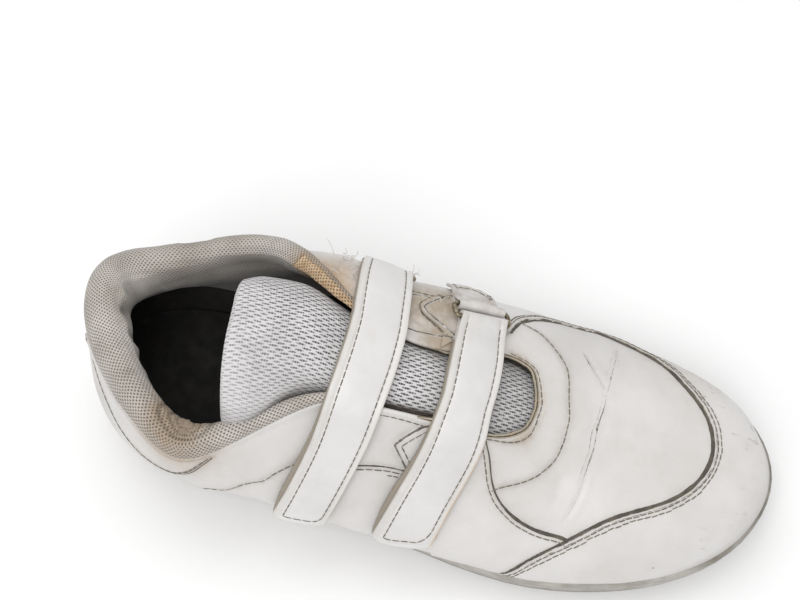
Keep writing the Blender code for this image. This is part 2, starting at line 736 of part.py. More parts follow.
def make_ring(name, strap_bar, tab_bar, collection):
    """A wire ring: one bar in the strap's fold, the other in the tab's fold."""
    corners = []
    for start, end in (strap_bar[:2], tab_bar[:2]):
        way = (end - start) / np.linalg.norm(end - start)
        corners.append((start - way * RING_OVERHANG, end + way * RING_OVERHANG))
    loop = [corners[0][0], corners[0][1], corners[1][1], corners[1][0]]
    points = []
    for i, corner in enumerate(loop):
        before = loop[i - 1] - corner
        after = loop[(i + 1) % 4] - corner
        before *= RING_CORNER / np.linalg.norm(before)
        after *= RING_CORNER / np.linalg.norm(after)
        for t in (0, 0.25, 0.5, 0.75, 1):
            points.append(corner + before * (1 - t) ** 2 + after * t**2)
    curve = bpy.data.curves.new(f"{name}_ring", "CURVE")
    curve.dimensions = "3D"
    curve.bevel_depth = WIRE * MM
    curve.bevel_resolution = 2
    spline = curve.splines.new("POLY")
    spline.points.add(len(points) - 1)
    for point, place in zip(spline.points, points):
        point.co = (*((place + (PLACE_X, PLACE_Y, 0)) * MM), 1)
    spline.use_cyclic_u = True
    ring = bpy.data.objects.new(f"{name}_ring", curve)
    collection.objects.link(ring)
    return ring


def main():
    for obj in list(bpy.data.objects):
        bpy.data.objects.remove(obj, do_unlink=True)
    scene = bpy.context.scene.collection
    sneaker = bpy.data.collections.new("sneaker")
    cutters = bpy.data.collections.new("cutters")
    scene.children.link(sneaker)
    scene.children.link(cutters)

    leather = material("white_leather", (0.72, 0.70, 0.67), 0.5)
    strap_leather = material("strap_leather", (0.76, 0.74, 0.71), 0.45)
    knit = material("grey_knit", (0.55, 0.54, 0.53), 0.9)
    padding = material("collar_mesh", (0.58, 0.55, 0.5), 0.95)
    rubber = material("dirty_rubber", (0.5, 0.47, 0.42), 0.7)
    foam = material("insole_foam", (0.12, 0.11, 0.1), 0.9)
    steel = material("ring_steel", (0.6, 0.58, 0.54), 0.35, 1.0)

    give(make_sole(sneaker, cutters), rubber)
    give(make_insole(sneaker), foam)
    give(make_upper(sneaker), leather)
    give(make_collar(sneaker), padding)
    give(make_tongue(sneaker), knit)
    tree = cover_tree()
    for name in STRAPS:
        strap, strap_bar = make_strap(name, tree, sneaker)
        tab, tab_bar = make_tab(name, tree, strap_bar, sneaker)
        bore(strap, *strap_bar[:2], cutters)
        bore(tab, *tab_bar[:2], cutters)
        give(strap, strap_leather)
        give(tab, strap_leather)
        give(make_ring(name, strap_bar, tab_bar, sneaker), steel)


main()
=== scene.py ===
"""The looks of a worn two-strap leather sneaker, built round its CAD frame.

The first part repeats the shoe's own surfaces from the CAD source, in millimetres with
X = 0 at the heel, Y towards the inner side and Z up. Leather, fabric, seams, stitches
and wear are then laid on those surfaces.
"""

import math
import random

import bmesh
import bpy
import numpy as np
from mathutils import Matrix, Vector, noise
from mathutils.bvhtree import BVHTree
from mathutils.kdtree import KDTree


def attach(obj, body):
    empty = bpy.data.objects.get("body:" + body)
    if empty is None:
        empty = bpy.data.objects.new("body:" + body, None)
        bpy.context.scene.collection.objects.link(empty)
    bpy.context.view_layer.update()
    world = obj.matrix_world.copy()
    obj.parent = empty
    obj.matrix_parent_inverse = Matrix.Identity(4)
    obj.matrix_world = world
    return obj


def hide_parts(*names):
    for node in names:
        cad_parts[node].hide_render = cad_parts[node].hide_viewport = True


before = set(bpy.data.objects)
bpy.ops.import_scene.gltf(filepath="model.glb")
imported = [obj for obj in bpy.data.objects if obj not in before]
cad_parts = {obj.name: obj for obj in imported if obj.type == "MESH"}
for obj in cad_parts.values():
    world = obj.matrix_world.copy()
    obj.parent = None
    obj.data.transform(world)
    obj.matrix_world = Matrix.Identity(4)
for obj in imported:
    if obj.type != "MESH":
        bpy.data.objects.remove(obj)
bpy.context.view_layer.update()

MM = 0.001
GAP = 0.3  # clearance between pieces that meet

# Driving dimensions of the shoe
LENGTH = 290.0
WALL = 2.0  # leather and lining of the upper
FOOT_INSET = 2.6  # the upper stands this far inside the sole's edge
INSOLE_THICK = 4.0
TONGUE_THICK = 5.0
STRAP_THICK = 2.6  # two layers of strap leather
TAB_THICK = 2.0
STRAP_LIFT = 0.9  # the strap rides this far above what it crosses
TAB_LIFT = 0.1
RING_LIFT = 0.7  # the folds round the ring
WIRE = 0.95  # radius of the ring wire
PLACE = (-145.3, 3.2, 0)  # from the shoe's own origin to the frame's

# The last, a row for each section on the way round from the heel, past the outer side
# and the toe. edge: the sole's outline. top: the upper's free edge at collar and throat.
# bulge, rise, reach and fall: how the side of the upper leaves the sole and meets the top.
LAST_COLUMNS = ("edge_x", "edge_y", "top_x", "top_y", "top_z", "bulge", "rise", "reach", "fall")
LAST = {
    "heel": (3, 4, 4.5, 5, 76, 7, 18, 2, 24),
    "heel_outer": (12, -17, 14.5, -16.5, 75, 11, 14, 3, 24),
    "quarter_outer": (37, -34, 35, -38.5, 72.5, 17, 13, 5, 20),
    "ankle_outer": (60, -38.4, 54.5, -48.6, 70.2, 18, 9, 5.5, 19),
    "waist_outer": (82, -40.5, 77, -38.6, 76, 22, 8, 10, 21),
    "shank_outer": (98, -42.5, 97, -27, 84.2, 26, 8, 16, 25),
    "rear_strap_outer": (128, -48.5, 121, -22, 85.2, 26, 8, 14, 26),
    "front_strap_outer": (157, -54.5, 147, -21, 76.4, 19, 9, 15, 23),
    "ball_outer": (188, -59.5, 168, -20, 67, 11, 11, 20, 18),
    "tread_outer": (222, -57.5, 180, -15, 62.5, 10, 13, 26, 16),
    "toe_outer": (258, -46.5, 184.5, -9, 60.5, 7, 15, 42, 14),
    "toe_corner_outer": (280.5, -27.5, 186, -4, 59.8, 6, 17, 55, 17),
    "toe": (289, -2, 186.5, 0, 59.5, 6, 18, 62, 18),
    "toe_corner_inner": (282, 19, 186, 5, 59.8, 6, 17, 56, 17),
    "toe_inner": (262.5, 36.5, 184.5, 11, 60.5, 5, 16, 44, 14),
    "tread_inner": (229, 50, 180, 15.5, 62.5, 5.5, 14, 28, 10),
    "ball_inner": (198, 53.5, 169, 16.5, 67, 9, 14, 24, 6),
    "front_strap_inner": (158, 45, 147, 9, 79, 17, 22, 38, 2),
    "rear_strap_inner": (126, 36, 123, 10.8, 88.2, 23, 30, 41, 0),
    "shank_inner": (98, 33, 103, 24.5, 91, 23.5, 25, 32, 4),
    "ankle_inner": (70, 35.5, 75, 45.5, 79, 18, 16, 5, 18),
    "quarter_inner": (40, 37, 34, 39, 73, 11, 12, 3, 20),
    "heel_inner": (12, 26, 7.5, 25, 76, 8, 14, 2, 24),
}

# Height of the sole's top along the shoe, as X and Z, and the shape of its underside
SOLE_TOP = ((0, 27), (60, 25), (128, 20.5), (188, 16), (228, 17), (262, 21), (290, 26.5))
HEEL_BEVEL = 24.0
HEEL_LIFT = 2.2
ARCH_START = 92.0
ARCH_END = 160.0
ARCH_LIFT = 3.2
SPRING_START = 212.0
SPRING_LIFT = 11.5

# The tongue, a row for each section from its free end to where it is sewn in
TONGUE_COLUMNS = ("x", "crown_y", "crown_z", "outer_y", "outer_z", "inner_y", "inner_z")
TONGUE = (
    (67.5, -6, 108.5, -33, 85.5, 13, 104),
    (71, -5, 107.5, -34.5, 82, 18, 98),
    (80, -4, 104, -32, 84, 21, 94),
    (92, -2, 99.5, -21.5, 86.3, 20, 93),
    (106, -2, 94.5, -18.5, 82.5, 15, 89),
    (128, -5, 85.5, -22, 73, 13.5, 78),
    (148, -4, 77.5, -23, 66, 15, 71.5),
    (168, -3, 66.5, -24, 56, 18, 60.5),
    (186, -1, 56.5, -22, 50, 20, 52),
    (198, 0, 51.5, -18, 47, 18, 48),
)
TONGUE_TURN = math.radians(72)  # half the arc that the tongue bends through from side to side

# The collar's padding at the heel, at the sides and at its front ends: thickness of the
# roll and how far it stands above the leather
COLLAR_HEEL = (17.0, 8.5)
COLLAR_SIDE = (10.0, 6.0)
COLLAR_FRONT = (3.8, 1.6)
HEEL_REACH = 34.0  # the heel's padding fades out over this length
# The roll thins out from this X over this length, on the outer and on the inner side
TAPER_OUTER = (66.0, 42.0)
TAPER_INNER = (90.0, 22.0)
ROLL_TURNS = (12, 45, 80, 115, 150)
PAD_MIN = 1.0  # least thickness of the padding
COLLAR_LOW = 0.4  # share of the upper's height that the collar's lining reaches down to
INNER_REACH = 0.15  # and how much lower it reaches on the inner side

# Straps: X of the rear and the front edge over the tongue and at the ring, the angle of
# both corners at the ring on the inner side, the angle of the free end, and how far the
# free end lies behind the middle of the strap
STRAP_COLUMNS = ("edges", "ring", "ring_angles", "end_angle", "sweep")
STRAPS = {
    "rear": ((109.9, 130.9), (108.2, 127.8), (26.0, 24.0), 179.5, 21.0),
    "front": ((147.0, 171.0), (149.5, 167.5), (53.5, 42.5), 184.0, 18.5),
}
SWEEP_START, SWEEP_POWER = 0.31, 1.35  # where along the strap the sweep starts, and how it grows
RING_EASE = 0.6  # share of the strap over which it comes to the ring's width
CORNER_REAR, CORNER_FRONT = 4.2, 3.0  # degrees taken off the free end at its corners
DRAWN_IN = {"rear": 0.0, "front": 3.0}  # how far the front edge is drawn in
DRAWN_PLACE, DRAWN_REACH = 0.37, 0.17  # and where along the strap
TAB_LENGTH = 25.0
TAB_SWEEP = 5.0
FOLD_RADIUS = WIRE + GAP + 1.2
FOLD_LENGTH = 9.0  # the strip is back to its own thickness this far from the fold
RING_DEPTH = 6.4  # between the ring's two bars
RING_OVERHANG = 2.1  # the ring reaches this far past the strap on each side
RING_CORNER = 2.2
# The rear strap's pull dents the inner side: X of the dent, its reach and its depth
PRESS_X, PRESS_REACH, PRESS_DEPTH = 117.0, 17.0, 3.2
AXIS_Y, AXIS_Z = AXIS = (-6.0, 36.0)  # centre that the straps are measured round
HULL_ANGLES = (-45, 215, 209)  # degrees: first, last and how many
FAR = 120.0  # rays towards the axis start this far out
NO_COVER = 20.0  # radius where they find nothing to lie on


# --- small sums ---


def held(value):
    """The value kept between 0 and 1."""
    return np.clip(value, 0, 1)


def bell(value):
    """1 at nothing, falling away to both sides."""
    return np.exp(-(value**2))


def unit(vectors):
    return vectors / np.maximum(np.linalg.norm(vectors, axis=-1, keepdims=True), 1e-9)


def xyz(*parts):
    """Points from their coordinates."""
    return np.stack(np.broadcast_arrays(*parts), -1)


def grid_of(rows, cols):
    return np.meshgrid(rows, cols, indexing="ij")


def full_turn(count):
    return np.linspace(0, 2 * math.pi, count, endpoint=False)


def length_along(points, axis=0):
    """Length so far along a line of points, or along the rows or columns of a grid."""
    steps = np.linalg.norm(np.diff(points, axis=axis), axis=-1)
    return np.insert(np.cumsum(steps, axis), 0, 0, axis)


def rounding(inwards, radius):
    """How far a rounded edge lies below the face at a distance inwards."""
    return radius * (1 - np.sqrt(held(1 - (1 - held(inwards / radius)) ** 2)))


def ends(share, width=0.18):
    """Fades a mark out at both ends of its line."""
    return held(share / width) * held((1 - share) / width)


def noise_at(points, size, seed):
    """Smooth noise from -1 to 1 at points in millimetres."""
    shift = Vector((seed * 7.3, seed * 3.1, seed * 5.7))
    found = [noise.noise(Vector(p) / size + shift) for p in points.reshape(-1, 3)]
    return np.reshape(found, points.shape[:-1])


def near_tree(points):
    """Search tree for the nearest of the points."""
    tree = KDTree(len(points))
    for i, point in enumerate(points):
        tree.insert(point, i)
    tree.balance()
    return tree


def field_of(line, points):
    """Distance of each point to the line, and the share along it of the nearest place."""
    tree = near_tree(line)
    index, distance = np.array([tree.find(p)[1:] for p in points]).T
    return distance, index / (len(line) - 1)


def spot_at(points, centre, reach):
    """1 at the centre of a round mark, falling away over its reach."""
    return np.exp(-np.sum((points - centre) ** 2, 1) / reach**2)


def spline(knots, values, period=None):
    """Cubic spline through rows of values at the knots: natural, or closed after a period."""
    knots, values = np.asarray(knots, float), np.asarray(values, float)
    count = len(knots)
    rows = np.arange(count)
    step = np.diff(np.append(knots, knots[0] + period if period else knots[-1] + 1))
    back = np.roll(step, 1)
    matrix = np.zeros((count, count))
    matrix[rows, rows] = 2 * (back + step)
    matrix[rows, rows - 1] += back
    matrix[rows, (rows + 1) % count] += step
    ahead = (np.roll(values, -1, 0) - values) / step[:, None]
    right = 6 * (ahead - (values - np.roll(values, 1, 0)) / back[:, None])
    if not period:
        matrix[[0, -1]] = np.eye(count)[[0, -1]]
        right[[0, -1]] = 0
    bend = np.linalg.solve(matrix, right)

    def at(place):
        place = np.asarray(place, float)
        if period:
            place = np.mod(place - knots[0], period) + knots[0]
        else:
            place = np.clip(place, knots[0], knots[-1])
        last = count - (1 if period else 2)
        i = np.clip(np.searchsorted(knots, place, side="right") - 1, 0, last)
        j = (i + 1) % count
        h = step[i][..., None]
        b = (place - knots[i])[..., None] / h
        a = 1 - b
        curve = ((a**3 - a) * bend[i] + (b**3 - b) * bend[j]) * h**2 / 6
        return a * values[i] + b * values[j] + curve

    return at


# --- the last: outline, sole heights and the side of the upper ---

SECTIONS = dict(zip(LAST_COLUMNS, np.array(list(LAST.values()), float).T))
EDGE = xyz(SECTIONS["edge_x"], SECTIONS["edge_y"])
KNOTS = length_along(EDGE)
GIRTH = KNOTS[-1] + np.linalg.norm(EDGE[0] - EDGE[-1])
edge_at = spline(KNOTS, EDGE, GIRTH)
sole_top_curve = spline(*zip(*[(x, [z]) for x, z in SOLE_TOP]))


def edge_normal(place):
    """Outward unit normal of the sole's outline."""
    ahead = unit(edge_at(place + 0.5) - edge_at(place - 0.5))
    return xyz(ahead[..., 1], -ahead[..., 0])


def sole_top(x):
    return sole_top_curve(x)[..., 0]


def sole_bottom(x):
    """Underside: flat at heel and ball, raised at the arch, the heel's edge and the toe."""
    heel = HEEL_LIFT * held(1 - x / HEEL_BEVEL) ** 2
    arch = held((x - ARCH_START) / (ARCH_END - ARCH_START))
    toe = held((x - SPRING_START) / (LENGTH - SPRING_START)) ** 1.7
    return heel + ARCH_LIFT * np.sin(math.pi * arch) ** 0.8 + SPRING_LIFT * toe


def control_points():
    """The four Bezier points of each section of the upper, as rows of 12 numbers."""
    get = {name: values[:, None] for name, values in SECTIONS.items()}
    normal = edge_normal(KNOTS)
    foot = EDGE - FOOT_INSET * normal
    foot = np.column_stack([foot, sole_top(foot[:, 0]) + GAP])
    top = np.hstack([get["top_x"], get["top_y"], get["top_z"]])
    low = foot + np.hstack([normal * get["bulge"], get["rise"]])
    way = unit(low[:, :2] - top[:, :2])
    high = top + np.hstack([way * get["reach"], -get["fall"]])
    return np.hstack([foot, low, high, top])


section_at = spline(KNOTS, control_points(), GIRTH)


def last_point(place, up):
    """Point of the upper's outer face: place runs round the outline, up from 0 to 1."""
    up = np.asarray(up, float)[..., None]
    foot, low, high, top = np.split(section_at(place), 4, axis=-1)
    low = 3 * (1 - up) ** 2 * up * low
    high = 3 * (1 - up) * up**2 * high
    return (1 - up) ** 3 * foot + low + high + up**3 * top


def last_normal(place, up):
    """Outward unit normal of the upper's outer face."""
    up = np.clip(up, 0.002, 0.998)
    along = last_point(place + 0.4, up) - last_point(place - 0.4, up)
    rise = last_point(place, up + 0.002) - last_point(place, up - 0.002)
    return unit(np.cross(along, rise))


def offset_point(place, up, out):
    """Point at a distance outside the upper's outer face (negative is inside)."""
    return last_point(place, up) + last_normal(place, up) * np.asarray(out)[..., None]


def knot(name):
    """Place of a named section on the way round."""
    return KNOTS[list(LAST).index(name)]


def collar_span():
    """Places of the collar's two front ends, running round the heel."""
    inner_end = knot("shank_inner") - 0.45 * (knot("shank_inner") - knot("rear_strap_inner"))
    outer_end = knot("shank_outer") + 0.55 * (knot("rear_strap_outer") - knot("shank_outer"))
    return inner_end, outer_end + GIRTH


def collar_size(place):
    """Thickness of the roll and how far it stands above the leather."""
    x, y, _ = np.moveaxis(last_point(place, 1.0), -1, 0)
    heel = bell((x - x.min()) / HEEL_REACH)
    start, length = (np.where(y > 0, *pair) for pair in zip(TAPER_INNER, TAPER_OUTER))
    front = held((x - start) / length)
    return tuple(
        side + heel * (back - side) - front * (side - ahead)
        for back, side, ahead in zip(COLLAR_HEEL, COLLAR_SIDE, COLLAR_FRONT)
    )


def collar_low(place):
    """Share of the upper's height that the collar's lining reaches down to."""
    x, y, _ = np.moveaxis(last_point(place, 1.0), -1, 0)
    return COLLAR_LOW - INNER_REACH * held((x - 30) / 25) * (y > 0)


def collar_section(place, turns, shares):
    """Ring of points over the collar's roll and down inside, from the outer side."""
    thick, lift = collar_size(place)
    top = last_point(place, 1.0)
    ahead = unit((last_point(place + 0.5, 1.0) - last_point(place - 0.5, 1.0)) * (1, 1, 0))
    out = xyz(ahead[..., 1], -ahead[..., 0], 0)
    tip = unit(top - last_point(place, 0.98)) * 2 * GAP
    points = []
    for turn in np.radians(turns):
        side = (thick / 2 * (1 - np.cos(turn)))[..., None]
        points.append(top + tip - out * side + xyz(0, 0, lift * np.sin(turn)))
    least = WALL + GAP + PAD_MIN
    for share in shares:
        depth = least + (thick - least) * max(math.cos(share * math.pi / 2), 0) ** 0.8
        points.append(offset_point(place, 1 - share * (1 - collar_low(place)), -depth))
    return np.stack(points, 1), tip


tongue_curve = spline([row[0] for row in TONGUE], [row[1:] for row in TONGUE])


def tongue_surface(along, across):
    """Top face of the tongue: along from 0 (free end) to 1, across from -1 to 1 (inner side)."""
    x = TONGUE[0][0] + along * (TONGUE[-1][0] - TONGUE[0][0])
    get = dict(zip(TONGUE_COLUMNS[1:], np.moveaxis(tongue_curve(x), -1, 0)))
    side_y = np.where(across < 0, get["outer_y"], get["inner_y"])
    side_z = np.where(across < 0, get["outer_z"], get["inner_z"])
    turn = TONGUE_TURN * np.abs(across)
    out = np.sin(turn) / math.sin(TONGUE_TURN)
    down = (1 - np.cos(turn)) / (1 - math.cos(TONGUE_TURN))
    y = get["crown_y"] + (side_y - get["crown_y"]) * out
    z = get["crown_z"] + (side_z - get["crown_z"]) * down
    return xyz(x, y, z)


def pressed(points):
    """Depth of the dent under the rear strap."""
    x, y, z = np.moveaxis(points, -1, 0)
    low = held((87 - z) / 15) * held((z - 36) / 22) * (y > 0)
    return PRESS_DEPTH * low * bell((x - PRESS_X) / PRESS_REACH)


# --- pieces, and faces worked by two parameters ---

ROOT = "root"
SMOOTH_ANGLE = math.radians(55)
REACH = 14.0  # rays that look for the leather start this far outside it


def new_piece(name, verts, faces, look, fields=None, marks=None):
    """A piece of the shoe from points in millimetres, with its per-point fields."""
    mesh = bpy.data.meshes.new(name)
    mesh.from_pydata(((verts.reshape(-1, 3) + PLACE) * MM).tolist(), [], faces)
    for field, values in (fields or {}).items():
        kind, key = ("FLOAT_VECTOR", "vector") if values.shape[-1] == 3 else ("FLOAT", "value")
        layer = mesh.attributes.new(field, kind, "POINT")
        layer.data.foreach_set(key, values.astype(np.float32).ravel())
    for one in look if isinstance(look, tuple) else (look,):
        mesh.materials.append(one)
    if marks is not None:
        mesh.polygons.foreach_set("material_index", marks)
    face_out(mesh)
    mesh.shade_smooth()
    mesh.set_sharp_from_angle(angle=SMOOTH_ANGLE)
    obj = bpy.data.objects.new(name, mesh)
    bpy.context.scene.collection.objects.link(obj)
    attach(obj, ROOT)
    return obj


def face_out(mesh):
    """Turns every face of a closed mesh outwards."""
    bm = bmesh.new()
    bm.from_mesh(mesh)
    bmesh.ops.recalc_face_normals(bm, faces=bm.faces)
    bm.to_mesh(mesh)
    bm.free()


def grid_faces(rows, cols, start=0, close_rows=False, close_cols=False):
    """Quads over a grid of rows by cols points, numbered row by row."""
    faces = []
    for i in range(rows - (not close_rows)):
        a, b = start + i * cols, start + (i + 1) % rows * cols
        for j in range(cols - (not close_cols)):
            k = (j + 1) % cols
            faces.append((a + j, a + k, b + k, b + j))
    return faces


def shell(front, back):
    """Points and faces of the closed solid between two grids (rows by cols by 3)."""
    rows, cols = front.shape[:2]
    count = rows * cols
    faces = grid_faces(rows, cols) + [f[::-1] for f in grid_faces(rows, cols, count)]
    rim = list(range(cols))
    rim += [i * cols + cols - 1 for i in range(1, rows)]
    rim += [(rows - 1) * cols + j for j in range(cols - 2, -1, -1)]
    rim += [i * cols for i in range(rows - 2, 0, -1)]
    faces += [(b, a, a + count, b + count) for a, b in zip(rim, rim[1:] + rim[:1])]
    return np.vstack([front.reshape(-1, 3), back.reshape(-1, 3)]), faces


def tube(sections, start=0, closed=False):
    """Faces through rings of points (rows by cols by 3), capped unless closed on itself."""
    rows, cols = sections.shape[:2]
    faces = grid_faces(rows, cols, start, close_rows=closed, close_cols=True)
    if not closed:
        end = start + (rows - 1) * cols
        faces += [tuple(range(start, start + cols))[::-1], tuple(range(end, end + cols))]
    return faces


class Face:
    """A curved face: at() turns pairs of parameters into points."""

    def __init__(self, at, steps):
        self.at = at
        self.steps = np.diag(steps)
        self.outward = 1.0

    def slopes(self, pairs):
        return [(self.at(pairs + move) - self.at(pairs - move)) / (2 * move.sum()) for move in self.steps]

    def normal(self, pairs):
        return unit(np.cross(*self.slopes(pairs))) * self.outward

    def shifted(self, pairs, move):
        """The pairs changed so that their points move by vectors in the face."""
        a, b = self.slopes(pairs)
        products = ((a, a), (a, b), (b, b), (move, a), (move, b))
        aa, ab, bb, ma, mb = (np.sum(p * q, 1) for p, q in products)
        det = np.maximum(aa * bb - ab * ab, 1e-9)
        return pairs + xyz((ma * bb - mb * ab) / det, (mb * aa - ma * ab) / det)

    def beside(self, line, distance):
        """The line moved sideways over the face, in millimetres; a number or one per point."""
        way = unit(np.gradient(self.at(line), axis=0))
        return self.shifted(line, np.cross(self.normal(line), way) * np.reshape(distance, (-1, 1)))

    def even(self, line, pitch, rounds=0):
        """The line with its points a pitch apart, smoothed a number of rounds."""
        for _ in range(rounds):
            line = np.vstack([line[:1], (line[:-2] + 2 * line[1:-1] + line[2:]) / 4, line[-1:]])
        length = length_along(self.at(line))
        share = np.linspace(0, length[-1], max(3, round(length[-1] / pitch) + 1))
        return xyz(*(np.interp(share, length, values) for values in line.T))


def tree_of(*grids):
    """Search tree over the faces of grids of points."""
    verts, faces, start = [], [], 0
    for grid in grids:
        faces += grid_faces(*grid.shape[:2], start)
        verts.append(grid.reshape(-1, 3))
        start += grid.shape[0] * grid.shape[1]
    return BVHTree.FromPolygons(np.vstack(verts).tolist(), faces)


def lay(face, line, tree, lift=0.0):
    """Points of the line on whatever lies outermost on the face, and the face's normals."""
    points, normals = face.at(line), face.normal(line)
    found = []
    for point, normal in zip(points, normals):
        hit = tree.ray_cast(Vector(point + normal * REACH), Vector(-normal), 2 * REACH)[0]
        found.append(point if hit is None else hit)
    return np.array(found) + normals * np.reshape(lift, (-1, 1)), normals


# --- the upper's face and the lines drawn on it ---

upper_face = Face(lambda pairs: last_point(*pairs.T), (0.4, 0.004))
PROBE_PLACES = np.linspace(0, GIRTH, 1500, endpoint=False)
PROBE_UPS = np.linspace(0, 1, 160)
probes = near_tree(last_point(*grid_of(PROBE_PLACES, PROBE_UPS)).reshape(-1, 3))


def on_upper(points):
    """(place, up) of points near the upper's face; place runs on past the heel."""
    places, ups = np.array([divmod(probes.find(p)[1], len(PROBE_UPS)) for p in points]).T
    pairs = xyz(PROBE_PLACES[places], PROBE_UPS[ups])
    for _ in range(2):
        pairs = upper_face.shifted(pairs, np.array(points) - upper_face.at(pairs))
        pairs[:, 1] = held(pairs[:, 1])
    pairs[:, 0] = np.unwrap(pairs[:, 0], period=GIRTH)
    return pairs


def trace(knots):
    """A smooth line over the upper through points in millimetres."""
    pairs = on_upper(knots)
    length = length_along(upper_face.at(pairs))
    line = spline(length, pairs)(np.linspace(0, length[-1], max(8, round(length[-1] / 0.5))))
    line[:, 1] = held(line[:, 1])
    return upper_face.even(line, 0.8, 6)


def ruled(knots):
    """A line of straight runs over the upper, with small rounded corners."""
    return upper_face.even(upper_face.even(on_upper(knots), 0.4), 0.8, 6)


# Cut edges of the panels, in millimetres
TOE_EDGE = (
    (181, -60, 20), (187, -57, 27), (197, -52, 35), (205, -47, 38), (221, -37, 43), (243, -26, 43),
    (255, -15, 43), (260, 1, 43), (256, 15, 42), (247, 27, 41), (234, 40, 36), (224, 44.5, 34),
    (211, 49, 31), (202, 53, 26), (194, 55, 19),
)
OUTER_EDGE = (
    (166, -20, 68), (169, -25.5, 63), (172, -34, 56), (177, -40, 49), (184, -43.5, 44), (196, -46, 40),
    (206, -48, 38), (206, -54, 30), (202, -58, 20),
)
INNER_EDGE = ((171, 27, 64), (175, 35, 59), (184, 43, 48), (198, 48, 37), (211, 50, 31), (212, 53, 22))
HEEL_EDGE = (
    (7, -6, 76), (11, -17, 66), (22, -30, 58), (34, -41, 54), (45, -48, 54), (54, -49, 58),
    (61, -48, 65), (66, -46.5, 70),
)
HEEL_EDGE_INNER = (
    (8, 16, 77), (11, 24, 68), (22, 34, 61), (36, 41, 58), (50, 44, 61), (62, 45.5, 68), (70, 45, 77),
)
CHEVRON_OUTER = ((151, -18, 76), (143, -22, 75), (133, -29, 69), (139, -35, 60), (144, -39, 54))
CHEVRON_INNER = (
    (156, 40, 62), (144, 35, 72), (136.5, 26.5, 80.5), (135.3, 24.2, 81), (137, 22.5, 81),
    (148.6, 15.6, 77.6), (157, 11, 74),
)

# Stitch rows and grooves with no cut edge
FACING = (
    (172, -36, 53), (179, -33, 53), (187, -29, 53), (195, -21, 55), (199, -7, 56), (199, 1, 56),
    (198, 10, 56), (193, 24, 56), (184, 33, 56), (175, 35, 58),
)
THROAT = (
    (167, -20, 67), (174, -19.5, 64), (181, -17, 61.5), (185.5, -10, 60), (186.5, 0, 59), (184.5, 9, 59.5),
    (180, 15, 62), (172, 17.5, 65),
)
STEP_SEAM = ((119, -37.5, 62), (128, -36, 61.5), (140, -36, 59))
EYESTAY_OUTER = ((118, -25, 83), (128, -23.9, 81.6), (137, -23.4, 78.5), (147, -23.4, 74.5))
EYESTAY_INNER = (
    (112, 23, 89), (122, 16, 87.5), (131.2, 12.9, 84.9), (139.8, 13.2, 81.6), (148.6, 14.6, 77.8),
)
MEDIAL_BAND = ((122, 33, 80), (130.5, 31.5, 80.1), (135.7, 32.2, 77.6), (141.4, 33, 74.8), (146, 33.5, 72.5))
STEP_SEAM_LOW = ((131.5, -38, 58.2), (134, -38, 58), (136, -38, 57.5))
WAVY_SEAM = ((60, -52, 42), (68, -51, 45), (76, -50, 50), (84, -48, 54), (91, -44, 59), (100, -39, 63))

# Creases of the leather, each with how deep and how wide it is
CREASES = (
    (((218, 40, 41), (217, 31, 47), (215.5, 22, 51), (213, 16, 52)), 0.5, 0.8),
    (((203, 31, 50), (206, 26, 51), (209, 21, 52), (212.5, 16, 52), (214.5, 9, 52), (214, 0, 53)), 0.6, 0.8),
    (((214, 8, 52), (213, -4, 53), (211, -11, 52), (209, -19, 52), (208, -27, 50), (206, -34, 47),
     (202, -41, 42)), 0.65, 0.8),
    (((210, 9, 53), (210, 2, 53.5), (209, -6, 53.5), (206.5, -14, 53), (205, -22, 52)), 0.45, 0.7),
    (((223, 33, 44), (222, 24, 49), (219, 14, 51), (218, 4, 52)), 0.3, 2.2),
    (((199, -24, 52), (198, -31, 49), (196, -38, 45)), 0.35, 2.4),
    (((150, -42, 52), (158, -46, 45), (166, -52, 36)), 0.35, 3.0),
    (((60, -46, 66), (72, -50, 58), (84, -52, 46)), 0.3, 3.5),
    (((70, 44, 66), (84, 41, 62), (96, 38, 58)), 0.5, 3.0),
    (((112, 25, 88), (122, 20, 87), (134, 17.5, 83.5), (147, 15, 78.5)), 0.7, 0.9),
    (((131, 19, 85), (134, 25, 81), (140, 30, 75)), 0.4, 0.9),
    (((118, 36, 80), (127, 31, 80), (136, 28, 78)), 0.35, 1.2),
    (((133, 13, 84), (139, 14.5, 82), (146, 11, 79)), 0.35, 0.8),
    (((95, 34, 84), (101, 31, 86), (107, 27, 88)), 0.45, 0.9),
    (((97, 38, 77), (103, 35, 80), (108, 32, 82)), 0.4, 1.0),
    (((216, 33, 46), (214.5, 26, 50), (212, 20, 52)), 0.5, 0.9),
    (((224, 12, 50), (222, 0, 51), (220, -12, 50)), 0.25, 2.0),
)
BROAD_ROLL, BROAD_SIZE = 0.4, 24.0  # slow rise and fall of the worn leather
FINE_ROLL, FINE_SIZE = 0.2, 9.0
SUNK = 0.7  # the leather lies this far inside the last, to leave room for the panels on it
# Places where the leather has fallen in: where, how far it reaches and how deep
FALLEN = (
    ((243, 42, 34), 26, 0.8), ((286, 2, 28), 20, 1.5), ((278, 18, 28), 18, 0.9), ((268, -34, 28), 24, 1.0),
)
FACING_STEP = 0.5  # the facing round the throat stands this far above the vamp
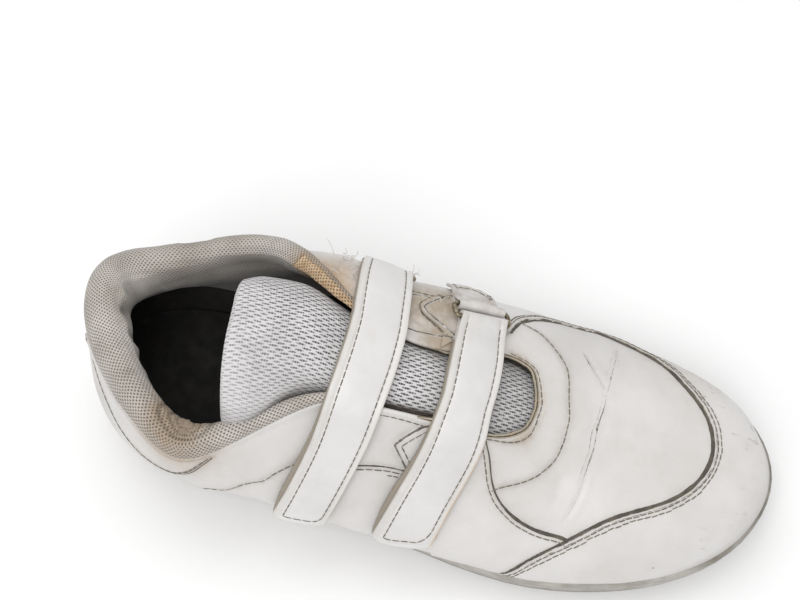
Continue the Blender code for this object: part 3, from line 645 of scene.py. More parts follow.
# Ragged dark cracks and scratches of the leather: points, half width and how dark
CRACKS = (
    (WAVY_SEAM, 0.4, 0.6),
    (((202.6, 29.6, 51), (206, 23.6, 52), (209.4, 19, 52), (213, 14.7, 52)), 0.32, 0.7),
    (((218, 40, 39), (217, 30, 47), (215.4, 22, 50), (213.8, 12, 52)), 0.35, 0.5),
    (((215.5, 36, 43), (214.8, 28, 48), (213, 21, 51)), 0.25, 0.4),
    (((213.8, 12, 52), (212.8, 5, 52), (211, -3.4, 53), (210.5, -11, 52), (209.2, -17.7, 52),
     (207.5, -25, 51)), 0.45, 0.62),
    (((211.5, 9, 52), (210.8, 2, 52), (209, -6, 53), (208.3, -13, 52), (206.8, -20, 52),
     (205, -27, 50)), 0.3, 0.5),
    (((207.5, -25, 51), (206.4, -31, 48), (204.8, -35.5, 46), (201.8, -41, 43)), 0.3, 0.4),
    (((244, 38.3, 33), (255, 34.3, 32), (265, 29.6, 32), (272, 25.5, 31)), 0.3, 0.5),
    (((250, 33, 36), (259.6, 28.8, 35.5), (267.6, 24.1, 35)), 0.22, 0.42),
    (((236, 43.8, 29), (246.3, 40, 30), (252, 36.5, 31)), 0.3, 0.45),
    (((270.5, 7.5, 40), (273.3, 5.4, 39), (275.6, 5, 38)), 0.5, 0.35),
    (((272.5, 3, 39.5), (275, 2.4, 39), (277, 3.2, 38)), 0.4, 0.3),
)
# Brown glue and rust beside the front strap and round the throat
STAINED = (
    (((156.4, -23.4, 68.9), (155.6, -33.9, 57.9), (154.8, -44.5, 46.6), (154.0, -53.1, 35.7)), 0.9, 1.5),
    (((183, 12, 61), (188, 4, 59), (188.6, -4, 59), (187, -11, 60)), 0.35, 0.55),
    (((262, 25, 36), (268, 18, 37), (272, 12, 37)), 0.5, 0.35),
)
# Seams that soil the leather beside them
SEAM_KNOTS = (
    TOE_EDGE, OUTER_EDGE[:-2], INNER_EDGE[:-1], HEEL_EDGE, HEEL_EDGE_INNER, FACING, THROAT,
    STEP_SEAM, WAVY_SEAM, CHEVRON_OUTER, CHEVRON_INNER,
)
seam_tree = near_tree(np.vstack([upper_face.at(trace(knots)) for knots in SEAM_KNOTS]))
crease_lines = [(upper_face.at(trace(knots)), deep, wide) for knots, deep, wide in CREASES]
facing_line = trace(FACING)
# Seams that lie in a soft valley, each with its depth and width
VALLEYS = (
    (facing_line, 0.35, 1.3), (trace(THROAT), 0.3, 1.2), (trace(WAVY_SEAM), 0.45, 2.0),
    (trace(STEP_SEAM), 0.3, 1.2),
)


def relief(pairs):
    """How far the worn leather stands in front of the last's smooth face."""
    points = upper_face.at(pairs)
    out = BROAD_ROLL * noise_at(points, BROAD_SIZE, 1) + FINE_ROLL * noise_at(points, FINE_SIZE, 2) - SUNK
    for centre, reach, deep in FALLEN:
        out -= deep * spot_at(points, centre, reach)
    for line, deep, wide in crease_lines:
        distance, share = field_of(line, points)
        rise = 0.3 * bell((distance - 2.2 * wide) / (1.3 * wide))
        out += deep * ends(share) ** 0.5 * (rise - bell(distance / wide))
    for line, deep, wide in VALLEYS:
        distance, share = field_of(upper_face.at(line), points)
        out -= deep * ends(share, 0.05) * bell(distance / wide)
    place, up = pairs.T
    inside = np.interp(np.mod(place, GIRTH), *facing_line.T, 2, 2)
    gap = field_of(upper_face.at(facing_line), points)[0] * np.sign(up - inside)
    out += FACING_STEP * np.where(np.abs(inside) < 1.5, held((gap + 2.4) / 2.2), 0)
    return (out - pressed(points)) * held((1 - up) / 0.04) * held(up / 0.05)


# --- leather upper ---

SKIN_STEP = 1.25  # size of the upper's facets round the shoe
SKIN_ROWS = 92
LINING_ROWS = 12
# The cut edge of a panel, outside to inside: how far in, and height as a share of its thickness
PANEL_EDGE = ((0.0, -0.6), (0.0, 0.3), (0.12, 0.62), (0.4, 0.86), (0.9, 1.0), (1.8, 1.0), (3.0, 0.98))
PANEL_SUNK = 0.7  # the hidden back of a panel lies this far inside the leather under it


def make_skin(looks):
    """The upper's outer leather, its rounded free edge and the dark lining inside."""
    place = np.linspace(0, GIRTH, round(GIRTH / SKIN_STEP), endpoint=False)
    pairs = xyz(*grid_of(place, np.linspace(0, 1, SKIN_ROWS)))
    out = relief(pairs.reshape(-1, 2)).reshape(pairs.shape[:2])
    outer = offset_point(pairs[..., 0], pairs[..., 1], out)
    rise = unit(last_point(place, 1.0) - last_point(place, 0.99))
    rows = [outer]
    for turn in np.radians((40, 90, 140)):  # the edge of the leather is rounded
        edge = offset_point(place, 1.0, -(1 - math.cos(turn)) * WALL / 2 * np.ones(len(place)))
        rows.append((edge + rise * (math.sin(turn) * WALL / 2.6))[:, None])
    ring, down = grid_of(place, np.linspace(1, 0, LINING_ROWS))
    inner = offset_point(ring, down, -WALL - pressed(last_point(ring, down)))
    inner[:, -1, 2] = outer[:, 0, 2]
    section = np.concatenate([*rows, inner], axis=1)
    faces = tube(section, closed=True)
    cols = section.shape[1]
    marks = [int(min(f[0] % cols, f[1] % cols) > SKIN_ROWS + 1) for f in faces]
    points = section.reshape(-1, 3)
    skin = new_piece("upper_leather", points, faces, looks, wear_fields(points), marks)
    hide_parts("upper")
    return outer


def panel(name, edge, back, thick, side, look, rows=26, reach=3.0, under=None):
    """A sheet of leather over the upper with a cut edge; side says where it lies from the edge."""
    lines = []
    for inward, share in PANEL_EDGE:
        lines.append((upper_face.beside(edge, side * inward * reach / 3), thick * share))
    first = lines[-1][0]
    for share in np.linspace(0, 1, rows)[1:]:
        lines.append((first + share * (back - first), thick * (1 - 0.02 * share)))
    sunk = PANEL_SUNK + thick * (under is not None)
    front, behind = [], []
    for line, out in lines:
        line = xyz(line[:, 0], held(line[:, 1]))
        base = relief(line)
        if under is not None:
            out = out - (thick + 0.3) * held((under(line) + 0.8) / 0.8)
        front.append(offset_point(*line.T, base + out))
        behind.append(offset_point(*line.T, base - sunk))
    points, faces = shell(np.array(front), np.array(behind))
    fields = wear_fields(points)
    fields["rim"] = 1.0 * (np.arange(len(points)) < 5 * len(edge))
    new_piece(name, points, faces, look, fields)
    return np.array(front)[1:]


# --- small things laid on the leather: dirt in the seams, and stitches ---

# Rings of a dirt line: how far to the side as a share of its half width, lift and darkness
DIRT_RING = (
    (-1.0, -0.12, 0.0), (-0.8, 0.05, 0.55), (-0.5, 0.1, 1.0), (0.5, 0.1, 1.0), (0.8, 0.05, 0.55),
    (1.0, -0.12, 0.0), (0.5, -0.5, 0.0), (-0.5, -0.5, 0.0),
)
# Stitches: size and, for the rings of each, share of its length, width and height
STITCH_PITCH, STITCH_LENGTH, STITCH_RADIUS, STITCH_SUNK = 3.0, 2.8, 0.27, 0.12
STITCH_SIDES = 6
STITCH_RINGS = ((0.0, 0.35, -0.35), (0.08, 0.9, 0.1), (0.5, 1.0, 0.35), (0.92, 0.9, 0.1), (1.0, 0.35, -0.35))


class Joined:
    """Many small closed bodies that end up as one piece."""

    def __init__(self):
        self.verts = []
        self.faces = []
        self.fields = {}
        self.count = 0

    def add(self, sections, **fields):
        self.faces += tube(sections, self.count)
        self.verts.append(sections.reshape(-1, 3))
        self.count += len(self.verts[-1])
        for name, values in fields.items():
            values = np.broadcast_to(values, sections.shape[:2])
            self.fields.setdefault(name, []).append(values.ravel())

    def make(self, name, look, slot):
        fields = {n: np.concatenate(v) for n, v in self.fields.items()}
        return new_piece(name, np.vstack(self.verts), self.faces, look, fields)


def dirt_line(joined, line, tree, half, dark, ragged=0.25, taper=0.03, field="dirt"):
    """Grime that fills a seam: a low bead whose sides sink into the leather."""
    points = upper_face.at(line)
    wide = half * (1 + ragged * noise_at(points, 5.0, 3) + 0.5 * ragged * noise_at(points, 1.6, 4))
    share = np.linspace(0, 1, len(line))
    wide *= np.clip(np.minimum(share, 1 - share) / taper, 0.15, 1)
    rings = []
    for side, lift, _ in DIRT_RING:
        rings.append(lay(upper_face, upper_face.beside(line, side * wide), tree, lift)[0])
    shade = np.array([row[2] for row in DIRT_RING]) * dark
    shade = shade * (0.85 + 0.3 * noise_at(points, 3.0, 5))[:, None]
    joined.add(np.stack(rings, 1), **{field: shade})


def stitches(joined, face, line, tree, draw, wave=0.0):
    """A row of stitches along a line, each a short thread that goes in at both ends."""
    whole = length_along(face.at(line))
    count = max(2, int(whole[-1] / STITCH_PITCH))
    step = whole[-1] / count
    shares, wide, high = np.array(STITCH_RINGS).T
    starts = step * (np.arange(count) + 0.05) + draw.uniform(-0.15, 0.15)
    spots = (starts[:, None] + shares * STITCH_LENGTH * step / STITCH_PITCH).ravel()
    pairs = xyz(*(np.interp(spots, whole, values) for values in line.T))
    shift = [draw.uniform(-wave, wave) for _ in range(count)]
    laid, normals = lay(face, face.beside(pairs, np.repeat(shift, len(shares))), tree)
    side = unit(np.cross(normals, unit(np.gradient(laid, axis=0))))
    size = STITCH_RADIUS * np.tile(wide, count)[:, None]
    centre = laid + normals * (STITCH_RADIUS * (np.tile(high, count) - STITCH_SUNK))[:, None]
    rings = [centre + size * (math.cos(t) * side + math.sin(t) * normals) for t in full_turn(STITCH_SIDES)]
    for sections in np.split(np.stack(rings, 1), count):
        joined.add(sections, shade=draw.uniform(0, 1))


# --- straps, tabs and rings ---

LAYER = 1.32  # thickness of the leather that goes round the ring
BACKING_SHIFT = 1.9  # the backing shows behind the strap's lower half by this much
FOLD_STEPS = 13
RETURN_LENGTH = 11.0  # and how far it runs back under the strap
STRAP_WIDTH = 21.0
EDGE_ROUND = 0.75  # radius of a strap's edge
STITCH_INSET = 3.1  # from the edge to the stitches
GLUE = {"rear": 0.15, "front": 1.6}  # brown glue along the front edge of the free end
SOFT_STEP = 3.5  # the strap evens out steps along the shoe over this many millimetres
SOFT_BEND = 7.0  # and corners round the shoe over this many degrees


def collar_roll(count):
    """Points over the outside of the collar's roll."""
    return collar_section(np.linspace(*collar_span(), count), ROLL_TURNS, (0, 0.25, 0.5))[0]


def cover_tree():
    """What the straps lie on: the outer face of the upper, the collar and the tongue."""
    around, height = grid_of(np.linspace(0, GIRTH, 241), np.linspace(0, 1, 28))
    leather = offset_point(around, height, -pressed(last_point(around, height)))
    tongue = tongue_surface(*grid_of(np.linspace(0, 1, 50), np.linspace(-1, 1, 30)))
    return tree_of(leather, tongue, collar_roll(60))


def softened(rows, step, width, reach):
    """Rows evened out over a width, with steps between their values."""
    spread = np.exp(-((np.arange(-reach, reach + 1) * step / width) ** 2) / 2)
    padded = np.pad(rows, ((0, 0), (reach, reach)), mode="edge")
    return np.array([np.convolve(row, spread / spread.sum(), mode="valid") for row in padded])


def crossed(a, b):
    """Cross product of rows of vectors in a plane."""
    return a[..., 0] * b[..., 1] - a[..., 1] * b[..., 0]


class Cover:
    """How far a band pulled tight over the shoe lies from the axis, by X and angle."""

    def __init__(self, first, last, step=1.5):
        tree = cover_tree()
        self.x = np.arange(first, last, step)
        self.angles = np.radians(np.linspace(*HULL_ANGLES))
        self.ways = xyz(np.cos(self.angles), np.sin(self.angles))
        tight = np.array([self.ring(tree, x) for x in self.x])
        bend = math.degrees(self.angles[1] - self.angles[0])
        tight = softened(tight, bend, SOFT_BEND, 12)
        self.radius = softened(tight.T, step, SOFT_STEP, 6).T

    def ring(self, tree, x):
        reach = []
        for way in self.ways:
            hit = tree.ray_cast(Vector((x, *(AXIS + FAR * way))), Vector((0, *(-way))))[0]
            reach.append(np.linalg.norm(np.array(hit[1:]) - AXIS) if hit else NO_COVER)
        points = np.array(reach)[:, None] * self.ways
        keep = []
        for i, point in enumerate(points):
            while len(keep) > 1:
                before, corner = points[keep[-2:]]
                if crossed(corner - before, point - corner) > 0:
                    break
                keep.pop()
            keep.append(i)
        spot = np.clip(np.searchsorted(keep, np.arange(len(points))), 1, len(keep) - 1)
        corner, way = points[keep][spot - 1], points[keep][spot] - points[keep][spot - 1]
        return crossed(corner, way) / crossed(self.ways, way)

    def points(self, x, angle):
        i = np.clip((x - self.x[0]) / (self.x[1] - self.x[0]), 0, len(self.x) - 1.001)
        turn = (angle - self.angles[0]) / (self.angles[1] - self.angles[0])
        radius = sample(self.radius[..., None], i, np.clip(turn, 0, len(self.angles) - 1.001))[..., 0]
        return xyz(x, AXIS_Y + radius * np.cos(angle), AXIS_Z + radius * np.sin(angle))


def sample(grid, i, j):
    """Values of a grid (rows by cols by n) between its points."""
    a, b = i.astype(int), j.astype(int)
    s, t = (i - a)[..., None], (j - b)[..., None]
    first = grid[a, b] * (1 - t) + grid[a, b + 1] * t
    return first * (1 - s) + (grid[a + 1, b] * (1 - t) + grid[a + 1, b + 1] * t) * s


def grid_face(grid):
    """The grid as a face whose two parameters run from 0 to 1."""
    size = np.array(grid.shape[:2])
    return Face(lambda pairs: sample(grid, *(held(pairs) * (size - 1.001)).T), 1 / size)


def grid_normals(grid):
    normal = np.cross(np.gradient(grid, axis=0), np.gradient(grid, axis=1))
    outward = np.sum(normal * (grid - (0, *AXIS)) * (0, 1, 1), -1, keepdims=True)
    return unit(normal * np.sign(outward))


def strip_parts(width):
    """Places across a strip, close together at its two rounded edges and stitch rows."""
    near = [0, 0.1, 0.3, 0.6, 1.0, 1.6, 2.2, 2.6, 2.85, 3.1, 3.35, 3.6, 4.1]
    middle = list(np.linspace(4.1, width / 2, 7)[1:])
    half = np.array(near + middle) / width
    return np.concatenate([half, 1 - half[-2::-1]])


def strip_height(grid, width, seed):
    """Rounded edges, pressed-in stitch rows and slow wrinkles of a strip's top face."""
    across = length_along(grid, 1)
    side = np.minimum(across, across[:, -1:] - across)
    along = length_along(grid[:, grid.shape[1] // 2])
    rim = np.minimum(side, (along[-1] - along)[:, None])
    groove = 0.42 * bell((rim - STITCH_INSET) / 0.6)
    swell = 0.75 * np.sin(held((side - STITCH_INSET) / (width / 2 - STITCH_INSET)) * math.pi / 2)
    wrinkle = 0.2 * noise_at(grid, 8.0, seed) + 0.07 * noise_at(grid, 2.4, seed + 1)
    return swell - rounding(rim, EDGE_ROUND) - groove + wrinkle * held(rim / 3)


class Strip:
    """A strip of leather folded round a bar at its first row, over a grid of points."""

    def __init__(self, grid, thick, lift, width, seed):
        parts = strip_parts(width)
        normal = grid_normals(grid)
        length = length_along(grid[:, grid.shape[1] // 2])
        ease = (1 - held(length / FOLD_LENGTH)) ** 2
        half = thick / 2 + ease * (FOLD_RADIUS - thick / 2)
        middle = lift + ease * (RING_LIFT - lift) + half
        first = grid[0] + normal[0] * middle[0]
        bar = first[0] * (1 - parts[:, None]) + first[-1] * parts[:, None]
        out = unit(normal[0].mean(0))
        away = grid[0].mean(0) - grid[2].mean(0)
        for other in (out, unit(bar[-1] - bar[0])):
            away = away - other * away.dot(other)
        away = unit(away)
        height = strip_height(grid, width, seed)
        over = grid + normal * (middle + half)[:, None, None]
        under = grid + normal * (middle - half)[:, None, None]
        layer = min(LAYER, thick / 2 - 0.05)
        turns = np.radians(np.linspace(-90, 90, FOLD_STEPS))[1:-1]
        ways = [away * math.cos(t) + out * math.sin(t) for t in turns]
        back = slice(np.searchsorted(length, RETURN_LENGTH), 0, -1)
        self.top = over[1:] + normal[1:] * height[1:, :, None]
        self.front = np.array([*under[back], *(bar + FOLD_RADIUS * way for way in ways), *self.top])
        hollow = [bar + (FOLD_RADIUS - layer) * way for way in ways]
        returned = under[back] + normal[back] * layer
        self.behind = np.array([*returned, *hollow, *(over[1:] - normal[1:] * layer)])
        self.base_top = grid + normal * (middle - 0.08)[:, None, None]
        self.base_low = under
        self.back, self.bar = back.start, (bar[0], bar[-1], away, out)
        self.parts, self.length = parts, length
        self.face = grid_face(self.top)
        if self.face.normal(np.full((1, 2), 0.5))[0].dot(normal[len(grid) // 2, len(parts) // 2]) < 0:
            self.face.outward = -1.0
        self.tree = tree_of(self.top)

    def spot(self, share, part):
        """Parameters of the face for a share along the strip and a place across it."""
        return share, np.interp(part, self.parts, np.linspace(0, 1, len(self.parts)))

    def wear(self, **amounts):
        """Fields for the front and hidden grids from amounts over the top grid."""
        lead = len(self.front) - len(self.top)
        found = {}
        for name, top in amounts.items():
            grid = np.concatenate([np.repeat(top[:1] * 0.6, lead, 0), top])
            found[name] = np.tile(grid.ravel(), 2)
        return found


def strap_grid(name, cover, along=170):
    """Points on the cover under a strap, from its ring to its free end."""
    spec = dict(zip(STRAP_COLUMNS, STRAPS[name]))
    share, part = grid_of(np.linspace(0, 1, along), strip_parts(STRAP_WIDTH))
    sweep = spec["sweep"] * held((share - SWEEP_START) / (1 - SWEEP_START)) ** SWEEP_POWER
    start = np.interp(part, (0, 1), spec["ring_angles"])
    side = 2 * part - 1
    corner = np.where(side < 0, CORNER_REAR * np.abs(side) ** 6, CORNER_FRONT * np.abs(side) ** 8)
    angle = np.radians(start + share * (spec["end_angle"] - corner - start))
    edges = np.interp(part, (0, 1), spec["edges"])
    near_ring = held(1 - share / RING_EASE) ** 2
    x = edges - sweep + near_ring * (np.interp(part, (0, 1), spec["ring"]) - edges)
    x = x - DRAWN_IN[name] * part * bell((share - DRAWN_PLACE) / DRAWN_REACH)
    return cover.points(x, angle)


def tab_grid(bar, cover, along=44):
    """Points on the cover under the tab that holds the ring."""
    start, end, away, out = bar
    parts = strip_parts(np.linalg.norm(end - start))
    share = np.linspace(0, 1, along)[:, None]
    top = start + parts[:, None] * (end - start) + away * RING_DEPTH - out * (RING_LIFT + FOLD_RADIUS)
    angle = np.arctan2(top[:, 2] - AXIS_Z, top[:, 1] - AXIS_Y)
    radius = np.linalg.norm(cover.points(top[:, 0], angle)[:, 1:] - AXIS, axis=1)
    length = TAB_LENGTH * (1 - 0.45 * parts**2.4 - 0.12 * (1 - parts) ** 12)
    x = top[:, 0] - TAB_SWEEP * share * (1 - 0.25 * parts)
    return cover.points(x, angle - share * length / radius)


def strip_piece(name, strip, looks, wear):
    """The piece of a strip of leather, with its wear."""
    points, faces = shell(strip.front, strip.behind)
    return new_piece(name, points, faces, looks["strap"], strip.wear(**wear))


def make_strap(name, cover, looks, seed, joined, draw):
    strip = Strip(strap_grid(name, cover), STRAP_THICK, STRAP_LIFT, STRAP_WIDTH, seed)
    share, part = grid_of(np.linspace(0, 1, len(strip.top)), strip.parts)
    blot = 0.6 + 0.6 * noise_at(strip.top, 6.0, seed + 3)
    to_side = np.minimum(part, 1 - part) * STRAP_WIDTH
    glue = bell((1 - part) * STRAP_WIDTH / 0.9) * held((share - 0.5) / 0.12)
    strap = strip_piece(f"{name}_strap_leather", strip, looks, {
        "grime": 0.5 * bell(to_side / 0.7) * blot + 0.25 * held(1 - share / 0.12),
        "stain": glue * (0.5 + blot) * GLUE[name],
        "rim": bell((to_side / 2.4) ** 2),
    })
    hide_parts(f"{name}_strap")
    make_backing(name, strip, looks)
    inset = STITCH_INSET / STRAP_WIDTH
    end = 1 - 3.4 / strip.length[-1]
    chamfer = 4.0 / strip.length[-1]
    corners = (
        (0.02, inset), (end, inset), (end, 1 - 2.0 * inset), (end - chamfer, 1 - inset), (0.02, 1 - inset),
    )
    stitch_path(joined, strip, corners, draw)
    return strip


def make_backing(name, strip, looks):
    """The strap's under layer, which peeps out along its rear edge; its dark colour is partly its own and
    partly painted shadow under the strap.
    """
    start = strip.back + 1
    top, low = strip.base_top[start:], strip.base_low[start:]
    share = np.linspace(0, 1, len(top))[:, None]
    shift = 0.5 + (BACKING_SHIFT - 0.5) * held((share - 0.45) / 0.3)
    shift = shift * held((1 - share) / 0.1) ** 0.6 * (1 + 0.15 * np.sin(share * 9))
    move = unit(np.gradient(top, axis=1)) * (-shift * (1 - strip.parts) ** 0.5)[..., None]
    points, faces = shell(top + move, low + move)
    # grime all over: partly soiling, partly painted shadow under the strap's edge
    wear = {"grime": np.ones(len(points))}
    new_piece(f"{name}_strap_backing", points, faces, looks["backing"], wear)


def stitch_path(joined, strip, corners, draw):
    """Stitches along straight runs between corners on a strip's top face."""
    corners = [strip.spot(*corner) for corner in corners]
    for a, b in zip(corners, corners[1:]):
        line = strip.face.even(np.linspace(a, b, 40), 0.8)
        stitches(joined, strip.face, line, strip.tree, draw)


def make_tab(name, bar, cover, looks, seed, joined, draw):
    width = np.linalg.norm(bar[1] - bar[0])
    strip = Strip(tab_grid(bar, cover), TAB_THICK, TAB_LIFT, width, seed)
    blot = 0.55 + 0.6 * noise_at(strip.top, 5.0, seed + 3)
    # the tab is greyed all over: partly soiling, partly painted shade
    wear = {"grime": blot, "stain": 0.25 * blot, "rim": 0 * blot}
    tab = strip_piece(f"{name}_tab_leather", strip, looks, wear)
    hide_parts(f"{name}_ring_tab")
    inset = 2.2 / width
    corners = (
        (0.5, 1 - inset), (0.5, inset), (0.86, inset), (0.93, 2.2 * inset), (0.9, 1 - 2.2 * inset),
        (0.8, 1 - inset), (0.5, 1 - inset),
    )
    stitch_path(joined, strip, corners, draw)
    return strip


def make_ring(name, strap_bar, tab_bar, look):
    """The wire ring between the strap's fold and the tab's fold."""
    corners = []
    for start, end in (strap_bar[:2], tab_bar[:2]):
        way = unit(end - start) * RING_OVERHANG
        corners.append((start - way, end + way))
    loop = [*corners[0], *corners[1][::-1]]
    points = []
    for i, corner in enumerate(loop):
        before = unit(loop[i - 1] - corner) * RING_CORNER
        after = unit(loop[(i + 1) % 4] - corner) * RING_CORNER
        points += [corner + before * (1 - t) ** 2 + after * t**2 for t in np.linspace(0, 1, 12)]
    flat = unit(np.cross(loop[1] - loop[0], loop[2] - loop[1]))
    out = unit(np.cross(unit(np.roll(points, -1, 0) - np.roll(points, 1, 0)), flat))
    rings = np.stack([points + WIRE * (math.cos(t) * out + math.sin(t) * flat) for t in full_turn(18)], 1)
    ring = new_piece(f"{name}_ring_wire", rings, tube(rings, closed=True), look)
    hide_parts(f"{name}_ring")


# --- binding round the throat, and loose threads ---

BEAD = (1.25, 0.85)  # half width and half height of the binding
HAIR_STEPS = 14
HAIR_RADIUS = 0.13
# Loose threads: where they come out, which way, how long, how far apart and how many
HAIRS = (
    ((98.5, 29.5, 89), (0.1, 0.8, 0.5), 15.0, 1.0, 2), ((104, 40, 83), (0.9, 0.2, 0.3), 8.0, 3.0, 5),
    ((103, 36, 86), (0.5, -0.4, 0.5), 9.0, 4.0, 4), ((105, 29, 89), (-0.5, 0.5, 0.5), 8.0, 4.0, 4),
    ((128.5, 43.5, 69), (0.9, 0.3, 0.4), 6.0, 1.5, 4), ((143, 31, 76), (0.2, 0.6, 0.6), 4.0, 2.0, 3),
)


def make_bead(looks):
    """The worn binding along the edge of the throat, dark where it meets the tongue."""
    places = np.arange(knot("front_strap_outer") - 8, knot("front_strap_inner") + 6, 0.7)
    edge = last_point(places, 1.0)
    beyond = unit(edge - last_point(places, 0.97))
    out = last_normal(places, 0.99)
    wobble = 1 + 0.2 * noise_at(edge, 3.0, 61) + 0.12 * noise_at(edge, 1.1, 62)
    share = np.linspace(0, 1, len(places))
    width = (BEAD[0] * wobble * np.clip(np.minimum(share, 1 - share) / 0.02, 0.2, 1))[:, None]
    rings, dark = [], []
    for turn in full_turn(14):
        across = beyond * width * math.cos(turn)
        rings.append(edge + beyond * 0.7 - out * 0.75 + across + out * (BEAD[1] * math.sin(turn)))
        line = bell((math.degrees(turn) - 78) / 16)
        dark.append(max(line, 1.1 * (math.cos(turn) > 0.97)))
    sections = np.stack(rings, 1)
    fields = {
        "dirt": np.tile(dark, len(places)),
        "grime": np.full(len(places) * len(rings), 0.35),
        "stain": 0.2 + 0.4 * noise_at(sections.reshape(-1, 3), 6.0, 63),
    }
    new_piece("throat_binding", sections, tube(sections), looks["binding"], fields)


def make_hairs(looks, draw):
    """Loose ends of thread where seams have frayed."""
    joined = Joined()
    for start, way, length, spread, count in HAIRS:
        for _ in range(count):
            point = np.array(start) + [draw.uniform(-spread, spread) for _ in range(3)]
            point = upper_face.at(on_upper([point]))[0]
            ahead = unit(np.array(way) + [draw.uniform(-0.5, 0.5) for _ in range(3)])
            turn = unit(np.array([draw.uniform(-1, 1) for _ in range(3)]))
            bend = draw.uniform(0.1, 0.45)
            step = length * draw.uniform(0.5, 1.2) / HAIR_STEPS
            rings = []
            for i in range(HAIR_STEPS):
                side = unit(np.cross(ahead, turn))
                up = np.cross(side, ahead)
                thin = HAIR_RADIUS * (0.4 if i in (0, HAIR_STEPS - 1) else 1.0)
                rings.append([point + thin * (math.cos(t) * side + math.sin(t) * up) for t in full_turn(5)])
                point = point + ahead * step
                ahead = unit(ahead + bend * np.cross(turn, ahead))
            joined.add(np.array(rings), shade=draw.uniform(0.5, 1))
    joined.make("frayed_threads", looks["fray"], "white_leather")


# --- padded fabric: collar, tongue and insole ---

COLLAR_STEP = 0.8
WORN_LENGTH = 33.0  # the brown patch at the inner front end of the padding
WORN_TURNS = (78.0, 215.0)  # and how far round the roll it starts and stops
# Where the padding has been trodden inwards: X, reach along the shoe, how far in and down
TRODDEN = (53.0, 13.0, 5.5, 1.5)
WAVE_COUNT, WAVE_DEPTH = 4.5, 0.22  # wrinkles round the trodden place
RIB_PITCH, RIB_HEIGHT = 3.1, 0.1  # slow ribs round the roll
OPEN_LENGTHS = (44.0, 24.0)  # how far down the mesh is open, on the inner side and elsewhere
# Folds pressed into the padding: points, how deep and how wide
COLLAR_FOLDS = (
    (((21, 16.5, 84), (23, 13.5, 82), (24, 13, 76), (25, 14, 68), (27, 16, 60)), 4.0, 2.4),
    (((20, 3, 82), (23, 6, 78), (23.5, 10, 70), (24, 12, 62)), 1.8, 2.6),
    (((22, -6, 80), (25, -5, 76), (26, -4, 70)), 1.2, 2.2),
    (((25, -16, 79), (29, -14, 75), (31, -12, 69)), 1.2, 2.4),
    (((34, 40, 80), (40, 43, 80), (48, 45, 80)), 0.8, 7.0),
    (((28, -22, 76), (34, -28, 72), (40, -31, 68)), 1.0, 3.0),
    (((50, 36, 74), (60, 36, 72), (70, 36, 74), (80, 33, 78)), 0.6, 4.5),
    (((36, 30, 76), (44, 34, 74), (50, 35, 68)), 0.9, 2.6),
)
# Marks of wear: where, how far they reach, brown stain and grey grime
MARKS = (
    ((88, 33, 88), 7, 0.9, 0.2), ((95, 27, 90), 8, 1.0, 0.25), ((103, 20, 91), 8, 1.0, 0.25),
    ((109, 14, 91), 5, 0.8, 0.2),
    ((51, -38, 75), 11, 1.1, 0.3), ((58, -35, 68), 11, 0.9, 0.5), ((44, -34, 76), 7, 0.6, 0.3),
    ((46, 38, 82), 12, 0.12, 0.25),
    ((60, 39, 82), 12, 0.12, 0.2), ((30, -22, 82), 2.2, 0.0, 0.9), ((67, -43, 75), 1.8, 0.0, 0.9),
    ((74, 40, 84), 3, 0.0, 0.5), ((20, 9, 80), 6, 0.0, 0.7), ((33, 25, 78), 7, 0.1, 0.3),
    ((138, 30, 76), 13, 0.35, 0.9), ((128, 22, 86), 9, 0.4, 0.8), ((118, 33, 84), 8, 0.3, 0.8),
    ((102, 31, 86), 7, 0.3, 0.7), ((146, 12, 79), 7, 0.4, 0.7), ((150, 30, 74), 8, 0.3, 0.7),
    ((250, 36, 30), 14, 0.16, 0.1), ((232, 46, 28), 14, 0.14, 0.1),
    ((104, -40, 60), 6, 0.3, 0.5), ((99, -44, 52), 5, 0.3, 0.5), ((140, -42, 52), 7, 0.1, 0.3),
    ((139, 11, 82), 6, 0.1, 0.7), ((145, 9.5, 79.5), 5, 0.1, 0.7),
    ((176, 14, 63), 5, 0.5, 0.4), ((184, 3, 60), 4, 0.5, 0.3), ((181, -14, 61), 5, 0.45, 0.3),
    ((262, -34, 28), 2.0, 0.0, 0.5), ((277, -8, 34), 3.0, 0.0, 0.6), ((274, 4, 36), 3.0, 0.0, 0.35),
)
SCUFFS = (
    ((262, 30, 35), 18, 1.4), ((276, 16, 36), 14, 1.2), ((282, 10, 32), 10, 0.7),
    ((262, -40, 26), 16, 0.5), ((20, -20, 40), 16, 0.5), ((280, -14, 30), 10, 0.6),
)


def marks_at(points):
    """Stain, grime and scuff of the marks at each point."""
    stain, grime, scuff = np.zeros((3, len(points)))
    for centre, reach, brown, grey in MARKS:
        near = spot_at(points, centre, reach)
        stain += brown * near
        grime += grey * near
    for centre, reach, amount in SCUFFS:
        scuff += amount * spot_at(points, centre, reach)
    return stain, grime, scuff


def wear_fields(points):
    """Soft soiling of the leather: along the seams, low on the sides and at the marks."""
    stain, grime, scuff = marks_at(points)
    distance = np.array([seam_tree.find(p)[2] for p in points])
    over_sole = points[:, 2] - sole_top(points[:, 0])
    grime += 0.5 * bell(distance / 1.5) + 0.12 * bell(distance / 5.0)
    grime += 0.35 * bell(np.maximum(over_sole, 0) / 3.0)
    return {"stain": stain, "grime": grime, "scuff": scuff}


def dented(points, folds):
    """How far the folds press each point in, and how dark the painted shade in the nearest fold is there."""
    shade, out = np.zeros((2, len(points)))
    for knots, deep, wide in folds:
        knots = np.array(knots)
        length = length_along(knots)
        distance, share = field_of(spline(length, knots)(np.linspace(0, length[-1], 60)), points)
        fade = np.sqrt(ends(share, 0.25))
        near = bell(distance / wide) * fade
        out += deep * (0.3 * bell((distance - 1.9 * wide) / wide) * fade - near)
        shade = np.maximum(shade, near * min(1.0, deep / 2.5))
    return out, shade


